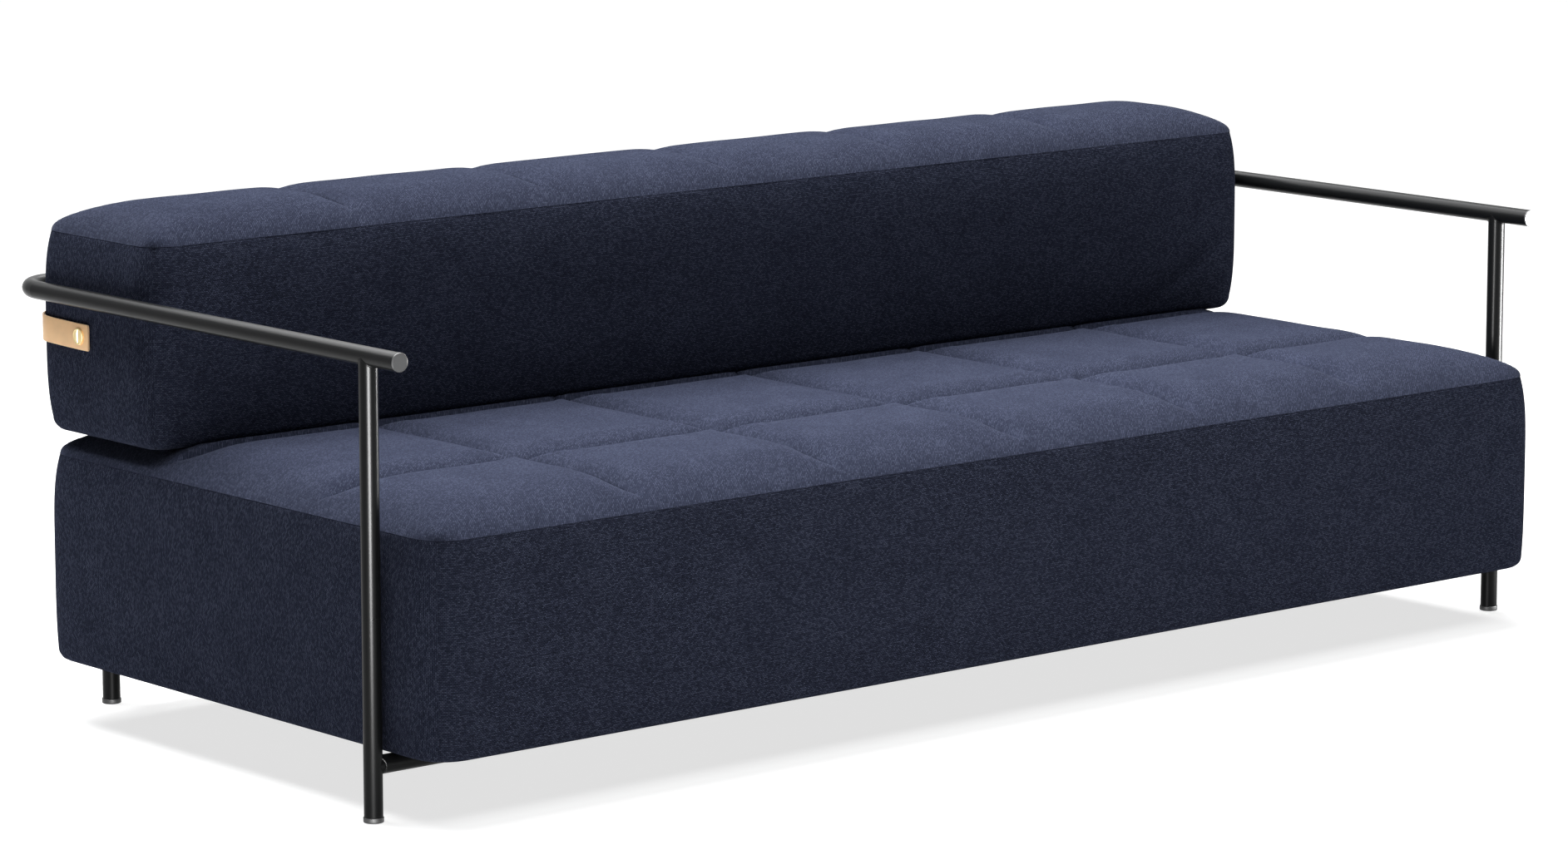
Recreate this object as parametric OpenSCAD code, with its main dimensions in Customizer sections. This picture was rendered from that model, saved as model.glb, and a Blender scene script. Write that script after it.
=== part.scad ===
// Futon sofa bed: a bent steel tube frame, a seat block that slides out on the
// frame's rails, and a back block that stands on the seat's rear row.
// Millimetres. X runs along the sofa, +Y to the rear, +Z up. The origin is on the
// floor, under the middle of the whole sofa.

/* [Tube frame] */
// Distance between the centre lines of the two arms
arm_span = 2096; // [1700:1:2500]
// Front post axis to the centre line of the arm tube's rear run
frame_depth = 811; // [760:1:900]
// Height of the arm tube's centre line
arm_z = 605; // [590:1:680]
// Outer diameter of every frame tube
tube_d = 25; // [22:0.5:28]
// Wall of every frame tube
tube_wall = 2; // [1.5:0.1:3]
// How far the arm tube runs forward of the post axis
arm_overhang = 66; // [30:1:110]
// Centre line radius of the arm tube's two rear bends
bend_r = 54; // [50:1:90]
// Height of the joint between a lower leg and the post above it
split_z = 267; // [200:1:330]
// Width of the line that shows at that joint
split_gap = 0.3; // [0.1:0.1:1]
// Length of the spigot that joins a leg to its post
joiner_len = 120; // [60:1:160]
// Height of the centre line of the bars and rails under the seat
rail_z = 74; // [60:1:90]
// Front post axis to the closed inner end of a leg bar
bar_len = 210; // [195:1:320]
// Rear post and side rail, inboard of the arm's centre line
rear_inset = 143; // [120:1:165]
// Front post axis to the cross rail that ties the side rails
cross_rail_y = 400; // [200:1:600]
// Gap that a weld bridges between a shaped tube end and the tube it meets
weld_gap = 0.15; // [0.05:0.05:0.4]
// Gap on the radius between a tube and what is pushed into it
plug_gap = 0.2; // [0.1:0.05:0.5]
// Thickness of an end cap's disc
cap_t = 2; // [1:0.5:4]
// Depth of an end cap's or a glide's spigot inside its tube
plug_depth = 14; // [8:1:25]

/* [Glides] */
// Diameter of a foot glide
glide_d = 27; // [25:0.5:34]
// Height of a foot glide below its tube
glide_h = 7; // [4:0.5:12]
// Bevel round the bottom of a glide
glide_bevel = 1.2; // [0.5:0.1:2]

/* [Seat block] */
// Front of the seat block, forward of the front post axis
seat_overhang = 114; // [80:1:140]
// Gap between the end of the seat block and a front post
seat_end_gap = 2.5; // [1:0.5:8]
// Gap between the back of the seat block and a rear post
seat_rear_gap = 5.5; // [4:0.5:12]
// Height of the seat's side band, from its underside to the welt
seat_band_h = 288; // [240:1:330]
// Height of the seat's quilted top above the welt
seat_crown = 41; // [35:1:60]
// Depth of the quilting lines below the seat's pillows
seat_dip = 13; // [5:1:20]
// Distance from its edge over which the seat's top rises to its crown
seat_rise_w = 150; // [100:5:200]
// Plan radius of the seat block's corners
seat_corner_r = 58; // [45:1:70]
// Radius of the seat block's lower edge
seat_edge_r = 15; // [10:1:27]
// Depth of the seat's front row of pillows
front_row = 285; // [240:1:320]
// Depth of the row that the back block stands on
rear_row = 278; // [260:1:300]
// How far the seat block slides out
pull_travel = 280; // [200:1:300]

/* [Back block] */
// Depth of the back block
back_depth = 285; // [220:1:300]
// Gap between the end of the back block and an arm
back_end_gap = 3.5; // [3:0.5:8]
// Gap between the back block and the rear tube
back_rear_gap = 3.5; // [3:0.5:10]
// Height of the back's side band, from its underside to the welt
back_band_h = 277; // [250:1:320]
// Height of the back's quilted top above the welt
back_crown = 39; // [25:1:50]
// Depth of the quilting lines below the back's pillows
back_dip = 10; // [4:1:15]
// Plan radius of the back block's corners
back_corner_r = 45; // [43:1:60]
// Radius of the back block's lower edge
back_edge_r = 20; // [15:1:30]
// Height of the back block's underside above the seat's welt
back_rest_h = 32; // [25:1:45]
// Distance from its edge over which the back's top rises to its crown
back_rise_w = 120; // [80:5:130]

/* [Upholstery] */
// Number of pillow columns along the sofa
quilt_cols = 6; // [4:1:8]
// Length of the pillow at each end of the seat
end_cell = 360; // [300:1:380]
// How far the hollow beside a quilting line reaches
crease_w = 110; // [60:5:160]
// Distance from an edge over which a quilting line runs out
crease_fade = 40; // [20:5:80]
// How far the side bands swell between the welt and the lower edge
bulge = 8; // [4:1:9]
// Thickness of the side bands with their edge foam
band_t = 40; // [40:1:42]
// Gap at the upright seam in each rounded corner
corner_seam = 0.3; // [0.2:0.1:1]
// Thickness of the welt between band and top
welt_d = 4; // [3:0.5:6]
// Width of the welt's sewn-in flange
welt_w = 14; // [10:1:20]
// How far the welt stands proud of the seam
welt_proud = 1.5; // [0.5:0.5:3]
// Gap between soft pieces, and between a soft piece and what carries it
soft_gap = 0.3; // [0.2:0.1:0.5]
// Thickness of the cloth under a block
under_t = 2; // [1:0.5:2.5]

/* [Timber inside the blocks] */
// Height of a long bearer under the slats
bearer_h = 40; // [25:1:60]
// Width of a long bearer
bearer_w = 34; // [25:1:45]
// Number of long bearers
bearer_count = 5; // [5:1:7]
// Thickness of a slat
slat_t = 18; // [12:1:22]
// Width of a slat
slat_w = 65; // [50:1:80]
// Number of slats
slat_count = 16; // [14:1:18]
// Thickness of the board inside the back block
board_t = 12; // [9:1:18]
// Height of the board inside the back block
board_h = 230; // [150:1:240]
// Gap between timber pieces, and between timber and foam
timber_gap = 0.2; // [0.1:0.1:0.5]

/* [Runners] */
// Width of a runner
runner_w = 40; // [36:1:50]
// How far a runner's lip hangs down beside its rail
lip_drop = 10; // [6:1:14]
// Gap between a runner's lip and its rail
lip_gap = 0.4; // [0.3:0.1:1]
// Gap left at the leg bar when the seat is fully out
stop_gap = 1; // [0.5:0.5:3]
// Rear end of the seat block to the rear end of a runner
runner_set = 50; // [30:1:80]
// Thread diameter of a runner screw
screw_d = 4; // [3:0.5:5]
// Length of a runner screw
screw_len = 25; // [18:1:30]

/* [Straps] */
// Width of a leather strap
strap_w = 36; // [25:1:50]
// Thickness of a leather strap
strap_t = 2.5; // [1.5:0.1:3]
// Height of a strap's middle
strap_z = 552; // [530:1:560]
// Front post axis to the free end of a strap
strap_end_y = 654; // [620:1:690]
// Free end of a strap to the middle of its stud
stud_set = 22; // [20:1:35]
// Diameter of a stud's head
stud_d = 23; // [14:1:24]
// Thickness of a stud's head
stud_t = 3; // [2:0.5:4]
// Diameter of a stud's neck
stud_neck_d = 6; // [4:0.5:8]
// Width of the slot in a stud's head
stud_slot = 2; // [1:0.5:3]
// Thickness of the socket disc on the back block's end
socket_t = 1.2; // [0.8:0.1:1.5]
// Diameter of the socket disc
socket_d = 18; // [10:1:20]
// Gap between a strap and what it lies against
strap_gap = 0.3; // [0.3:0.1:0.6]
// Rear post axis to the rivet that closes a strap's loop
rivet_set = 32; // [28:1:45]

/* [Hidden] */

LEFT = -1;
RIGHT = 1;
STEEL = "#26282c";
PLASTIC = "#1b1c1f";
CLOTH = "#2c3450";
WELT = "#232a42";
LEATHER = "#c08a57";
BRASS = "#c9a45c";
WOOD = "#c9a877";
FOAM = "#e6ddc4";
ZINC = "#a9adb3";

tube_r = tube_d / 2;
bore_d = tube_d - 2 * tube_wall;
plug_d = bore_d - 2 * plug_gap;
cope_r = tube_r + weld_gap;
half_span = arm_span / 2;
rear_x = half_span - rear_inset;
rail_top = rail_z + tube_r;

// the strap loop round a rear post is what reaches furthest back
loop_in = tube_r + strap_gap;
loop_out = loop_in + strap_t;
front_y = (seat_overhang - frame_depth - loop_out) / 2;
rear_y = front_y + frame_depth;

// seat block: half length, front, rear and underside
seat_hx = half_span - tube_r - seat_end_gap;
seat_front = front_y - seat_overhang;
seat_rear = rear_y - tube_r - seat_rear_gap;
seat_hy = (seat_rear - seat_front) / 2;
seat_cy = (seat_rear + seat_front) / 2;
seat_z = rail_top + soft_gap;
seat_seam = seat_z + seat_band_h;

// back block: the same, standing on the rear row
back_hx = half_span - tube_r - back_end_gap;
back_rear = rear_y - tube_r - back_rear_gap;
back_hy = back_depth / 2;
back_cy = back_rear - back_hy;
back_z = seat_seam + back_rest_h;
back_seam = back_z + back_band_h;
rest_z = back_z - soft_gap;

// quilting lines across the sofa, shared by both blocks
quilt_pitch = (2 * seat_hx - 2 * end_cell) / (quilt_cols - 2);
quilt_x = [for (i = [0 : quilt_cols - 2]) -seat_hx + end_cell + i * quilt_pitch];
front_line = seat_front + front_row;
rear_line = seat_rear - rear_row;

// how far a square corner stays inside the bands, to clear their round inner corners
function corner_set(r) = soft_gap + max(r - band_t, 0) * (1 - cos(45));

// timber and foam inside the seat
inner_x = seat_hx - band_t - corner_set(seat_corner_r);
inner_y = seat_hy - band_t - corner_set(seat_corner_r);
bearer_z = seat_z + under_t + timber_gap;
slat_z = bearer_z + bearer_h + timber_gap;
core_z = slat_z + slat_t + timber_gap;
bearer_pitch = (2 * inner_y - bearer_w) / (bearer_count - 1);
bearer_y = [for (i = [0 : bearer_count - 1]) seat_cy - inner_y + bearer_w / 2 + i * bearer_pitch];
slat_pitch = (2 * inner_x - slat_w) / (slat_count - 1);

// runners ride behind the leg bars, which stop them at full travel
runner_y0 = front_y + tube_r + stop_gap + pull_travel;
runner_y1 = seat_rear - runner_set;
screw_ys = [for (y = bearer_y) if (y > runner_y0 + bearer_w / 2 && y < runner_y1 - bearer_w / 2) y];

// straps: the free flap turns at the block's rear corner
face_x = back_hx + soft_gap + socket_t + strap_gap;
turn_r = back_corner_r + 0.5;
turn_x = face_x - turn_r;
turn_y = rear_y - loop_out - turn_r;
hinge_y = rear_y - (loop_in + loop_out) / 2;
strap_end = front_y + strap_end_y;
stud_y = strap_end + stud_set;
rivet_x = rear_x + rivet_set;

$fn = 64;

// ---------- helpers ----------

// solid rod from p along +X, +Y or +Z
module rod_x(p, len, d) translate(p) rotate([0, 90, 0]) cylinder(d = d, h = len);
module rod_y(p, len, d) translate(p) rotate([-90, 0, 0]) cylinder(d = d, h = len);
module rod_z(p, len, d) translate(p) cylinder(d = d, h = len);

// flat outline of a rounded block, inset from its widest outline
module rounded_plan(hx, hy, r) {
    square([2 * hx, 2 * (hy - r)], center = true);
    square([2 * (hx - r), 2 * hy], center = true);
    for (sx = [-1, 1], sy = [-1, 1])
        translate([sx * (hx - r), sy * (hy - r)]) circle(r = r);
}

// closed solid between a grid of top points and the same grid laid flat at height z0
module grid_solid(rows, z0) {
    nr = len(rows);
    nc = len(rows[0]);
    top = [for (row = rows) each row];
    base = [for (p = top) [p.x, p.y, z0]];
    b = nr * nc;
    rim = concat([for (i = [0 : nc - 1]) i],
                 [for (j = [1 : nr - 1]) j * nc + nc - 1],
                 [for (i = [nc - 2 : -1 : 0]) (nr - 1) * nc + i],
                 [for (j = [nr - 2 : -1 : 1]) j * nc]);
    polyhedron(concat(top, base), concat(
        [for (j = [0 : nr - 2], i = [0 : nc - 2]) let (a = j * nc + i, c = a + nc)
            each [[a, c, a + 1], [a + 1, c, c + 1],
                  [b + a, b + a + 1, b + c], [b + a + 1, b + c + 1, b + c]]],
        [for (k = [0 : len(rim) - 1]) let (m = (k + 1) % len(rim))
            each [[rim[k], rim[m], b + rim[k]], [rim[m], b + rim[m], b + rim[k]]]]));
}

// quarter-ellipse rise from 0 at an edge to 1 at distance w
function rise(e, w) = let (t = 1 - min(max(e, 0) / w, 1)) sqrt(1 - t * t);
// 1 on a quilting line, falling to 0 at distance w
function crease(q, w) = pow(1 - min(q / w, 1), 2);
function nearest(v, lines) = min([for (l = lines) abs(v - l)]);

// stations along one side of a grid: close together near edges and lines
EDGE_STEPS = [0, 0.012, 0.04, 0.1, 0.22, 0.45, 0.72, 0.9];
CELL_STEPS = [0, 0.08, 0.25, 0.5, 0.75, 0.92];
function span_steps(a, b, steps) = [for (f = steps) a + (b - a) * f];
function reversed(v) = [for (i = [len(v) - 1 : -1 : 0]) v[i]];
function from_edge(a, b) = span_steps(a, b, EDGE_STEPS);
function to_edge(a, b) = reversed(span_steps(b, a, EDGE_STEPS));
function column_steps(hx, lines) = concat(
    from_edge(-hx, lines[0]),
    [for (i = [0 : len(lines) - 2]) each span_steps(lines[i], lines[i + 1], CELL_STEPS)],
    [lines[len(lines) - 1]],
    to_edge(lines[len(lines) - 1], hx));

// x on a row at distance y from the middle, drawn in where the plan corner is round
function corner_x(x, y, hx, hy, r) = let (
    core = hx - r,
    reach = abs(y) > hy - r ? sqrt(max(r * r - pow(abs(y) - hy + r, 2), 0)) : r)
    abs(x) <= core ? x : sign(x) * (core + (abs(x) - core) * reach / r);

// upholstered block's plan at the welt
ROW_END = 9; // angle on the corner at which the first and last rows lie
function row_limit(hy, r) = hy - r * (1 - cos(ROW_END));

LIP = 3; // upright edge of the top panel above the welt

// quilted, crowned top: rows of points for y stations ys about the middle cy
function quilt_rows(ys, cy, hx, hy, r, z0, crown, dip, xs, row_lines, edge_w, cap_y, cap_z) =
    [for (y = ys) [for (x0 = xs) let (
        x = corner_x(x0, y, hx, hy, r),
        ex = hx - abs(x0),
        ey = row_limit(hy, r) - abs(y),
        swell = rise(ex, edge_w) * rise(ey, edge_w),
        cross = crease(nearest(x0, quilt_x), crease_w),
        along = len(row_lines) > 0 ? crease(nearest(y + cy, row_lines), crease_w) : 0,
        fade = min(max(min(ex, ey), 0) / crease_fade, 1),
        z = z0 + LIP + (crown - LIP) * swell - dip * fade * max(cross, along),
        capped = y + cy >= cap_y ? min(z, cap_z) : z)
        [x, y + cy, capped]]];

// outer face, rounded lower edge and flat inner face of a side band
function band_profile(z0, z1, edge_r) = concat(
    [for (a = [90 : -18 : 0]) [bulge + edge_r * (1 - cos(a)), z0 + edge_r * (1 - sin(a))]],
    [for (t = [0.15 : 0.14 : 0.86]) [bulge * pow(2 * t - 1, 2), z0 + edge_r + t * (z1 - z0 - edge_r)]],
    [[bulge, z1], [band_t, z1], [band_t, z0]]);

// one side band, from the middle of one corner to the middle of the next;
// phi is the way that it faces: -90 front, 0 right, 90 rear, 180 left
module side_band(hx, hy, r, cy, phi, profile) {
    slip = corner_seam / r * 28.65; // half the seam's gap, as an angle in degrees
    turn = [for (i = [0 : 4]) (45 - slip) * i / 4];
    angles = concat([for (a = reversed(turn)) [phi - a, -1]], [for (a = turn) [phi + a, 1]]);
    stations = [for (s = angles) let (
        side = phi + s[1] * 22.5,
        c = [sign(cos(side)) * (hx - r), sign(sin(side)) * (hy - r)],
        n = [cos(s[0]), sin(s[0])])
        [c + r * n, n]];
    np = len(profile);
    ns = len(stations);
    points = [for (s = stations, p = profile)
        [s[0].x - s[1].x * p[0], cy + s[0].y - s[1].y * p[0], p[1]]];
    polyhedron(points, concat(
        [[for (m = [np - 1 : -1 : 0]) m]],
        [[for (m = [0 : np - 1]) (ns - 1) * np + m]],
        [for (k = [0 : ns - 2], m = [0 : np - 1]) let (
            a = k * np + m, c = k * np + (m + 1) % np)
            each [[a, c, a + np], [a + np, c, c + np]]]));
}

// flat ring that is sewn between band and top
module welt_ring(hx, hy, r, cy, seam) {
    out = bulge - welt_proud;
    translate([0, cy, seam - welt_d / 2]) linear_extrude(welt_d) difference() {
        rounded_plan(hx - out, hy - out, r - out);
        rounded_plan(hx - out - welt_w, hy - out - welt_w, r - out - welt_w);
    }
}

// flat slab that fills a block inside its bands
module inner_slab(hx, hy, r, cy, z0, z1) {
    t = band_t + soft_gap;
    translate([0, cy, z0]) linear_extrude(z1 - z0)
        rounded_plan(hx - t, hy - t, max(r - t, 3));
}

// ---------- tube frame ----------

// the arm tube's bent run, as a solid rod of diameter d
module arm_run(d, past) {
    straight = frame_depth - bend_r;
    for (s = [LEFT, RIGHT]) {
        rod_y([s * half_span, front_y - arm_overhang - past, arm_z],
              straight + arm_overhang + past, d);
        translate([s * (half_span - bend_r), rear_y - bend_r, arm_z])
            rotate([0, 0, s == RIGHT ? 0 : 90])
                rotate_extrude(angle = 90) translate([bend_r, 0]) circle(d = d);
    }
    rod_x([-half_span + bend_r, rear_y, arm_z], 2 * (half_span - bend_r), d);
}

module arm_tube() color(STEEL) difference() {
    arm_run(tube_d, 0);
    arm_run(bore_d, 1);
}

module arm_cap(s) color(STEEL) {
    rod_y([s * half_span, front_y - arm_overhang - cap_t - weld_gap, arm_z], cap_t, tube_d);
    rod_y([s * half_span, front_y - arm_overhang - weld_gap - 0.5, arm_z],
          plug_depth + 0.5, plug_d);
}
module arm_cap_left() arm_cap(LEFT);
module arm_cap_right() arm_cap(RIGHT);

// tube from the split line up to the arm tube, its top cut to saddle round it
module upper_post(x, y, along_x) color(STEEL) difference() {
    z0 = split_z + split_gap / 2;
    rod_z([x, y, z0], arm_z - z0, tube_d);
    rod_z([x, y, z0 - 1], arm_z - z0 + 2, bore_d);
    if (along_x) rod_x([x - tube_d, y, arm_z], 2 * tube_d, 2 * cope_r);
    else rod_y([x, y - tube_d, arm_z], 2 * tube_d, 2 * cope_r);
}
module front_post_left() upper_post(LEFT * half_span, front_y, false);
module front_post_right() upper_post(RIGHT * half_span, front_y, false);
module rear_post_left() upper_post(LEFT * rear_x, rear_y, true);
module rear_post_right() upper_post(RIGHT * rear_x, rear_y, true);

module lower_leg(x, y) color(STEEL) difference() {
    z1 = split_z - split_gap / 2;
    rod_z([x, y, glide_h], z1 - glide_h, tube_d);
    rod_z([x, y, glide_h - 1], z1 - glide_h + 2, bore_d);
}
module front_leg_left() lower_leg(LEFT * half_span, front_y);
module front_leg_right() lower_leg(RIGHT * half_span, front_y);
module rear_leg_left() lower_leg(LEFT * rear_x, rear_y);
module rear_leg_right() lower_leg(RIGHT * rear_x, rear_y);

module leg_joiners() color(ZINC)
    for (p = [[half_span, front_y], [rear_x, rear_y]], s = [LEFT, RIGHT])
        rod_z([s * p.x, p.y, split_z - joiner_len / 2], joiner_len, plug_d);

// bar from a front leg in under the seat, shaped to the leg at its outer end
module leg_bar(s) color(STEEL) difference() {
    x0 = half_span - bar_len;
    rod_x([s > 0 ? x0 : -half_span, front_y, rail_z], bar_len, tube_d);
    rod_x([s > 0 ? x0 - 1 : -half_span - 1, front_y, rail_z], bar_len + 2, bore_d);
    rod_z([s * half_span, front_y, rail_z - tube_d], 2 * tube_d, 2 * cope_r);
}
module leg_bar_left() leg_bar(LEFT);
module leg_bar_right() leg_bar(RIGHT);

module bar_plugs() color(PLASTIC) for (s = [LEFT, RIGHT]) {
    x_end = half_span - bar_len - weld_gap;
    rod_x([s > 0 ? x_end - cap_t : -x_end, front_y, rail_z], cap_t, tube_d);
    rod_x([s > 0 ? x_end - 0.5 : -x_end - plug_depth, front_y, rail_z], plug_depth + 0.5, plug_d);
}

// rail from a leg bar back to the rear leg; the seat's runner slides on it
module side_rail(s) color(STEEL) difference() {
    rod_y([s * rear_x, front_y, rail_z], frame_depth, tube_d);
    rod_y([s * rear_x, front_y - 1, rail_z], frame_depth + 2, bore_d);
    rod_x([s * rear_x - tube_d, front_y, rail_z], 2 * tube_d, 2 * cope_r);
    rod_z([s * rear_x, rear_y, rail_z - tube_d], 2 * tube_d, 2 * cope_r);
}
module side_rail_left() side_rail(LEFT);
module side_rail_right() side_rail(RIGHT);

// rail between the two side rails
module cross_rail() color(STEEL) difference() {
    y = front_y + cross_rail_y;
    rod_x([-rear_x, y, rail_z], 2 * rear_x, tube_d);
    rod_x([-rear_x - 1, y, rail_z], 2 * rear_x + 2, bore_d);
    for (s = [LEFT, RIGHT]) rod_y([s * rear_x, y - tube_d, rail_z], 2 * tube_d, 2 * cope_r);
}

// rail between the two rear legs, shaped to them and to the side rails' ends
module rear_rail() color(STEEL) difference() {
    rod_x([-rear_x, rear_y, rail_z], 2 * rear_x, tube_d);
    rod_x([-rear_x - 1, rear_y, rail_z], 2 * rear_x + 2, bore_d);
    for (s = [LEFT, RIGHT]) {
        rod_z([s * rear_x, rear_y, rail_z - tube_d], 2 * tube_d, 2 * cope_r);
        rod_y([s * rear_x, rear_y - tube_d, rail_z], tube_d, 2 * cope_r);
    }
}

module glide(x, y) color(PLASTIC) translate([x, y, 0]) {
    rotate_extrude() polygon([[0, 0], [glide_d / 2 - glide_bevel, 0], [glide_d / 2, glide_bevel],
        [glide_d / 2, glide_h - weld_gap], [plug_d / 2, glide_h - weld_gap],
        [plug_d / 2, glide_h + plug_depth - 1], [plug_d / 2 - 1, glide_h + plug_depth],
        [0, glide_h + plug_depth]]);
}
module glide_front_left() glide(LEFT * half_span, front_y);
module glide_front_right() glide(RIGHT * half_span, front_y);
module glide_rear_left() glide(LEFT * rear_x, rear_y);
module glide_rear_right() glide(RIGHT * rear_x, rear_y);

// ---------- straps ----------

// mirrors a left-hand piece to the right
module handed(s) if (s == LEFT) children(); else mirror([1, 0, 0]) children();

// loop round a rear post, closed by its own doubled end, and the run to the corner
module strap_loop(s) color(LEATHER) handed(s) difference() {
    translate([-rear_x, rear_y, strap_z - strap_w / 2]) {
        difference() {
            union() {
                cylinder(r = loop_out, h = strap_w);
                translate([rear_x - turn_x + strap_t / 2 + strap_gap, -loop_out, 0])
                    cube([turn_x - rear_x - strap_t / 2 - strap_gap, strap_t, strap_w]);
                translate([-rivet_set - 12, -loop_in, 0])
                    cube([rivet_set + 12, strap_t, strap_w]);
            }
            translate([0, 0, -1]) cylinder(r = loop_in, h = strap_w + 2);
        }
    }
    rod_y([-rivet_x, rear_y - loop_out - 1, strap_z], 2 * strap_t + 2, screw_d + 2 * plug_gap);
}
module strap_loop_left() strap_loop(LEFT);
module strap_loop_right() strap_loop(RIGHT);

module loop_rivets() color(BRASS) for (s = [LEFT, RIGHT]) handed(s) {
    rod_y([-rivet_x, rear_y - loop_out, strap_z], 2 * strap_t + weld_gap + 1, screw_d);
    rod_y([-rivet_x, rear_y - loop_in + strap_t + weld_gap, strap_z], 1.8, 2.5 * screw_d);
}

// free end of the strap, from the turn at the corner to the stud
module strap_flap(s) color(LEATHER) handed(s) difference() {
    translate([0, 0, strap_z - strap_w / 2]) {
        rod_z([-turn_x, hinge_y, 0], strap_w, strap_t);
        translate([-turn_x, turn_y, 0]) rotate([0, 0, 90]) rotate_extrude(angle = 90)
            translate([turn_r, 0]) square([strap_t, strap_w]);
        translate([-face_x - strap_t, strap_end, 0]) cube([strap_t, turn_y - strap_end, strap_w]);
    }
    rod_x([-face_x - strap_t - 1, stud_y, strap_z], strap_t + 2, stud_neck_d + 2 * plug_gap);
}
module strap_flap_left() strap_flap(LEFT);
module strap_flap_right() strap_flap(RIGHT);

// slotted stud: its neck goes through the strap and snaps on the socket disc
module strap_stud(s) color(BRASS) handed(s) {
    head_x = -face_x - strap_t - weld_gap - stud_t;
    difference() {
        rod_x([head_x, stud_y, strap_z], stud_t, stud_d);
        translate([head_x - 1, stud_y - stud_slot / 2, strap_z - stud_d])
            cube([1 + stud_t / 3, stud_slot, 2 * stud_d]);
    }
    rod_x([head_x + stud_t / 2, stud_y, strap_z], stud_t / 2 + weld_gap + strap_t, stud_neck_d);
}
module strap_stud_left() strap_stud(LEFT);
module strap_stud_right() strap_stud(RIGHT);

module stud_socket(s) color(BRASS) handed(s)
    rod_x([-back_hx - soft_gap - socket_t, stud_y, strap_z], socket_t, socket_d);
module stud_socket_left() stud_socket(LEFT);
module stud_socket_right() stud_socket(RIGHT);

// ---------- seat block ----------

seat_top_hx = seat_hx - bulge;
seat_top_hy = seat_hy - bulge;
seat_top_r = seat_corner_r - bulge;
seat_row_end = row_limit(seat_top_hy, seat_top_r);

function seat_rows(ys) = quilt_rows(
    [for (y = ys) y - seat_cy], seat_cy, seat_top_hx, seat_top_hy, seat_top_r,
    seat_seam + welt_d / 2 + soft_gap, seat_crown, seat_dip,
    column_steps(seat_top_hx, quilt_x), [front_line, rear_line], seat_rise_w,
    rear_line - 1, rest_z);

module seat_top_front() color(CLOTH) grid_solid(
    seat_rows(concat(from_edge(seat_cy - seat_row_end, front_line),
                     span_steps(front_line, rear_line, CELL_STEPS),
                     [rear_line - corner_seam / 2])),
    seat_seam + welt_d / 2 + soft_gap);

module seat_top_rear() color(CLOTH) grid_solid(
    seat_rows(concat([rear_line + corner_seam / 2], to_edge(rear_line, seat_cy + seat_row_end))),
    seat_seam + welt_d / 2 + soft_gap);

module seat_welt() color(WELT) welt_ring(seat_hx, seat_hy, seat_corner_r, seat_cy, seat_seam);

module seat_band(phi) color(CLOTH) side_band(seat_hx, seat_hy, seat_corner_r, seat_cy, phi,
    band_profile(seat_z, seat_seam - welt_d / 2 - soft_gap, seat_edge_r));
module seat_band_front() seat_band(-90);
module seat_band_right() seat_band(0);
module seat_band_rear() seat_band(90);
module seat_band_left() seat_band(180);

module seat_core() color(FOAM) inner_slab(seat_hx, seat_hy, seat_corner_r, seat_cy,
    core_z, seat_seam - welt_d / 2 - soft_gap);

module seat_slats() color(WOOD) for (i = [0 : slat_count - 1])
    translate([-inner_x + i * slat_pitch, seat_cy - inner_y, slat_z])
        cube([slat_w, 2 * inner_y, slat_t]);

module runner_holes(z0, z1, d) for (s = [LEFT, RIGHT], y = screw_ys)
    rod_z([s * rear_x, y, z0], z1 - z0, d);

module seat_bearers() color(WOOD) difference() {
    for (y = bearer_y) translate([-inner_x, y - bearer_w / 2, bearer_z])
        cube([2 * inner_x, bearer_w, bearer_h]);
    runner_holes(bearer_z - 1, bearer_z + screw_len, screw_d + 2 * plug_gap);
}

// cloth under the seat, open where the runners reach the timber
module seat_underside() color(WELT) difference() {
    inner_slab(seat_hx, seat_hy, seat_corner_r, seat_cy, seat_z, seat_z + under_t);
    for (s = [LEFT, RIGHT])
        translate([s * rear_x - runner_w / 2 - soft_gap, runner_y0 - soft_gap, seat_z - 1])
            cube([runner_w + 2 * soft_gap, runner_y1 - runner_y0 + 2 * soft_gap, under_t + 2]);
}

// nylon runner: flat on top of its rail, with a lip down the rail's outer side
module seat_runner(s) color(PLASTIC) handed(s) difference() {
    union() {
        translate([-rear_x - runner_w / 2, runner_y0, seat_z])
            cube([runner_w, runner_y1 - runner_y0, under_t]);
        translate([-rear_x - runner_w / 2, runner_y0, rail_top - lip_drop])
            cube([runner_w / 2 - tube_r - lip_gap, runner_y1 - runner_y0,
                  lip_drop + soft_gap + under_t / 2]);
    }
    runner_holes(seat_z - 1, seat_z + under_t + 1, screw_d + 2 * plug_gap);
}
module seat_runner_left() seat_runner(LEFT);
module seat_runner_right() seat_runner(RIGHT);

module runner_screws() color(ZINC) runner_holes(seat_z, seat_z + screw_len - 1, screw_d);

// ---------- back block ----------

back_top_hx = back_hx - bulge;
back_top_hy = back_hy - bulge;
back_top_r = back_corner_r - bulge;
back_row_end = row_limit(back_top_hy, back_top_r);

module back_top() color(CLOTH) grid_solid(
    quilt_rows(concat(from_edge(-back_row_end, 0), [0], to_edge(0, back_row_end)),
        back_cy, back_top_hx, back_top_hy, back_top_r, back_seam + welt_d / 2 + soft_gap,
        back_crown, back_dip, column_steps(back_top_hx, quilt_x), [], back_rise_w, 1e6, 0),
    back_seam + welt_d / 2 + soft_gap);

module back_welt() color(WELT) welt_ring(back_hx, back_hy, back_corner_r, back_cy, back_seam);

module back_band(phi) color(CLOTH) side_band(back_hx, back_hy, back_corner_r, back_cy, phi,
    band_profile(back_z, back_seam - welt_d / 2 - soft_gap, back_edge_r));
module back_band_front() back_band(-90);
module back_band_right() back_band(0);
module back_band_rear() back_band(90);
module back_band_left() back_band(180);

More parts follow.
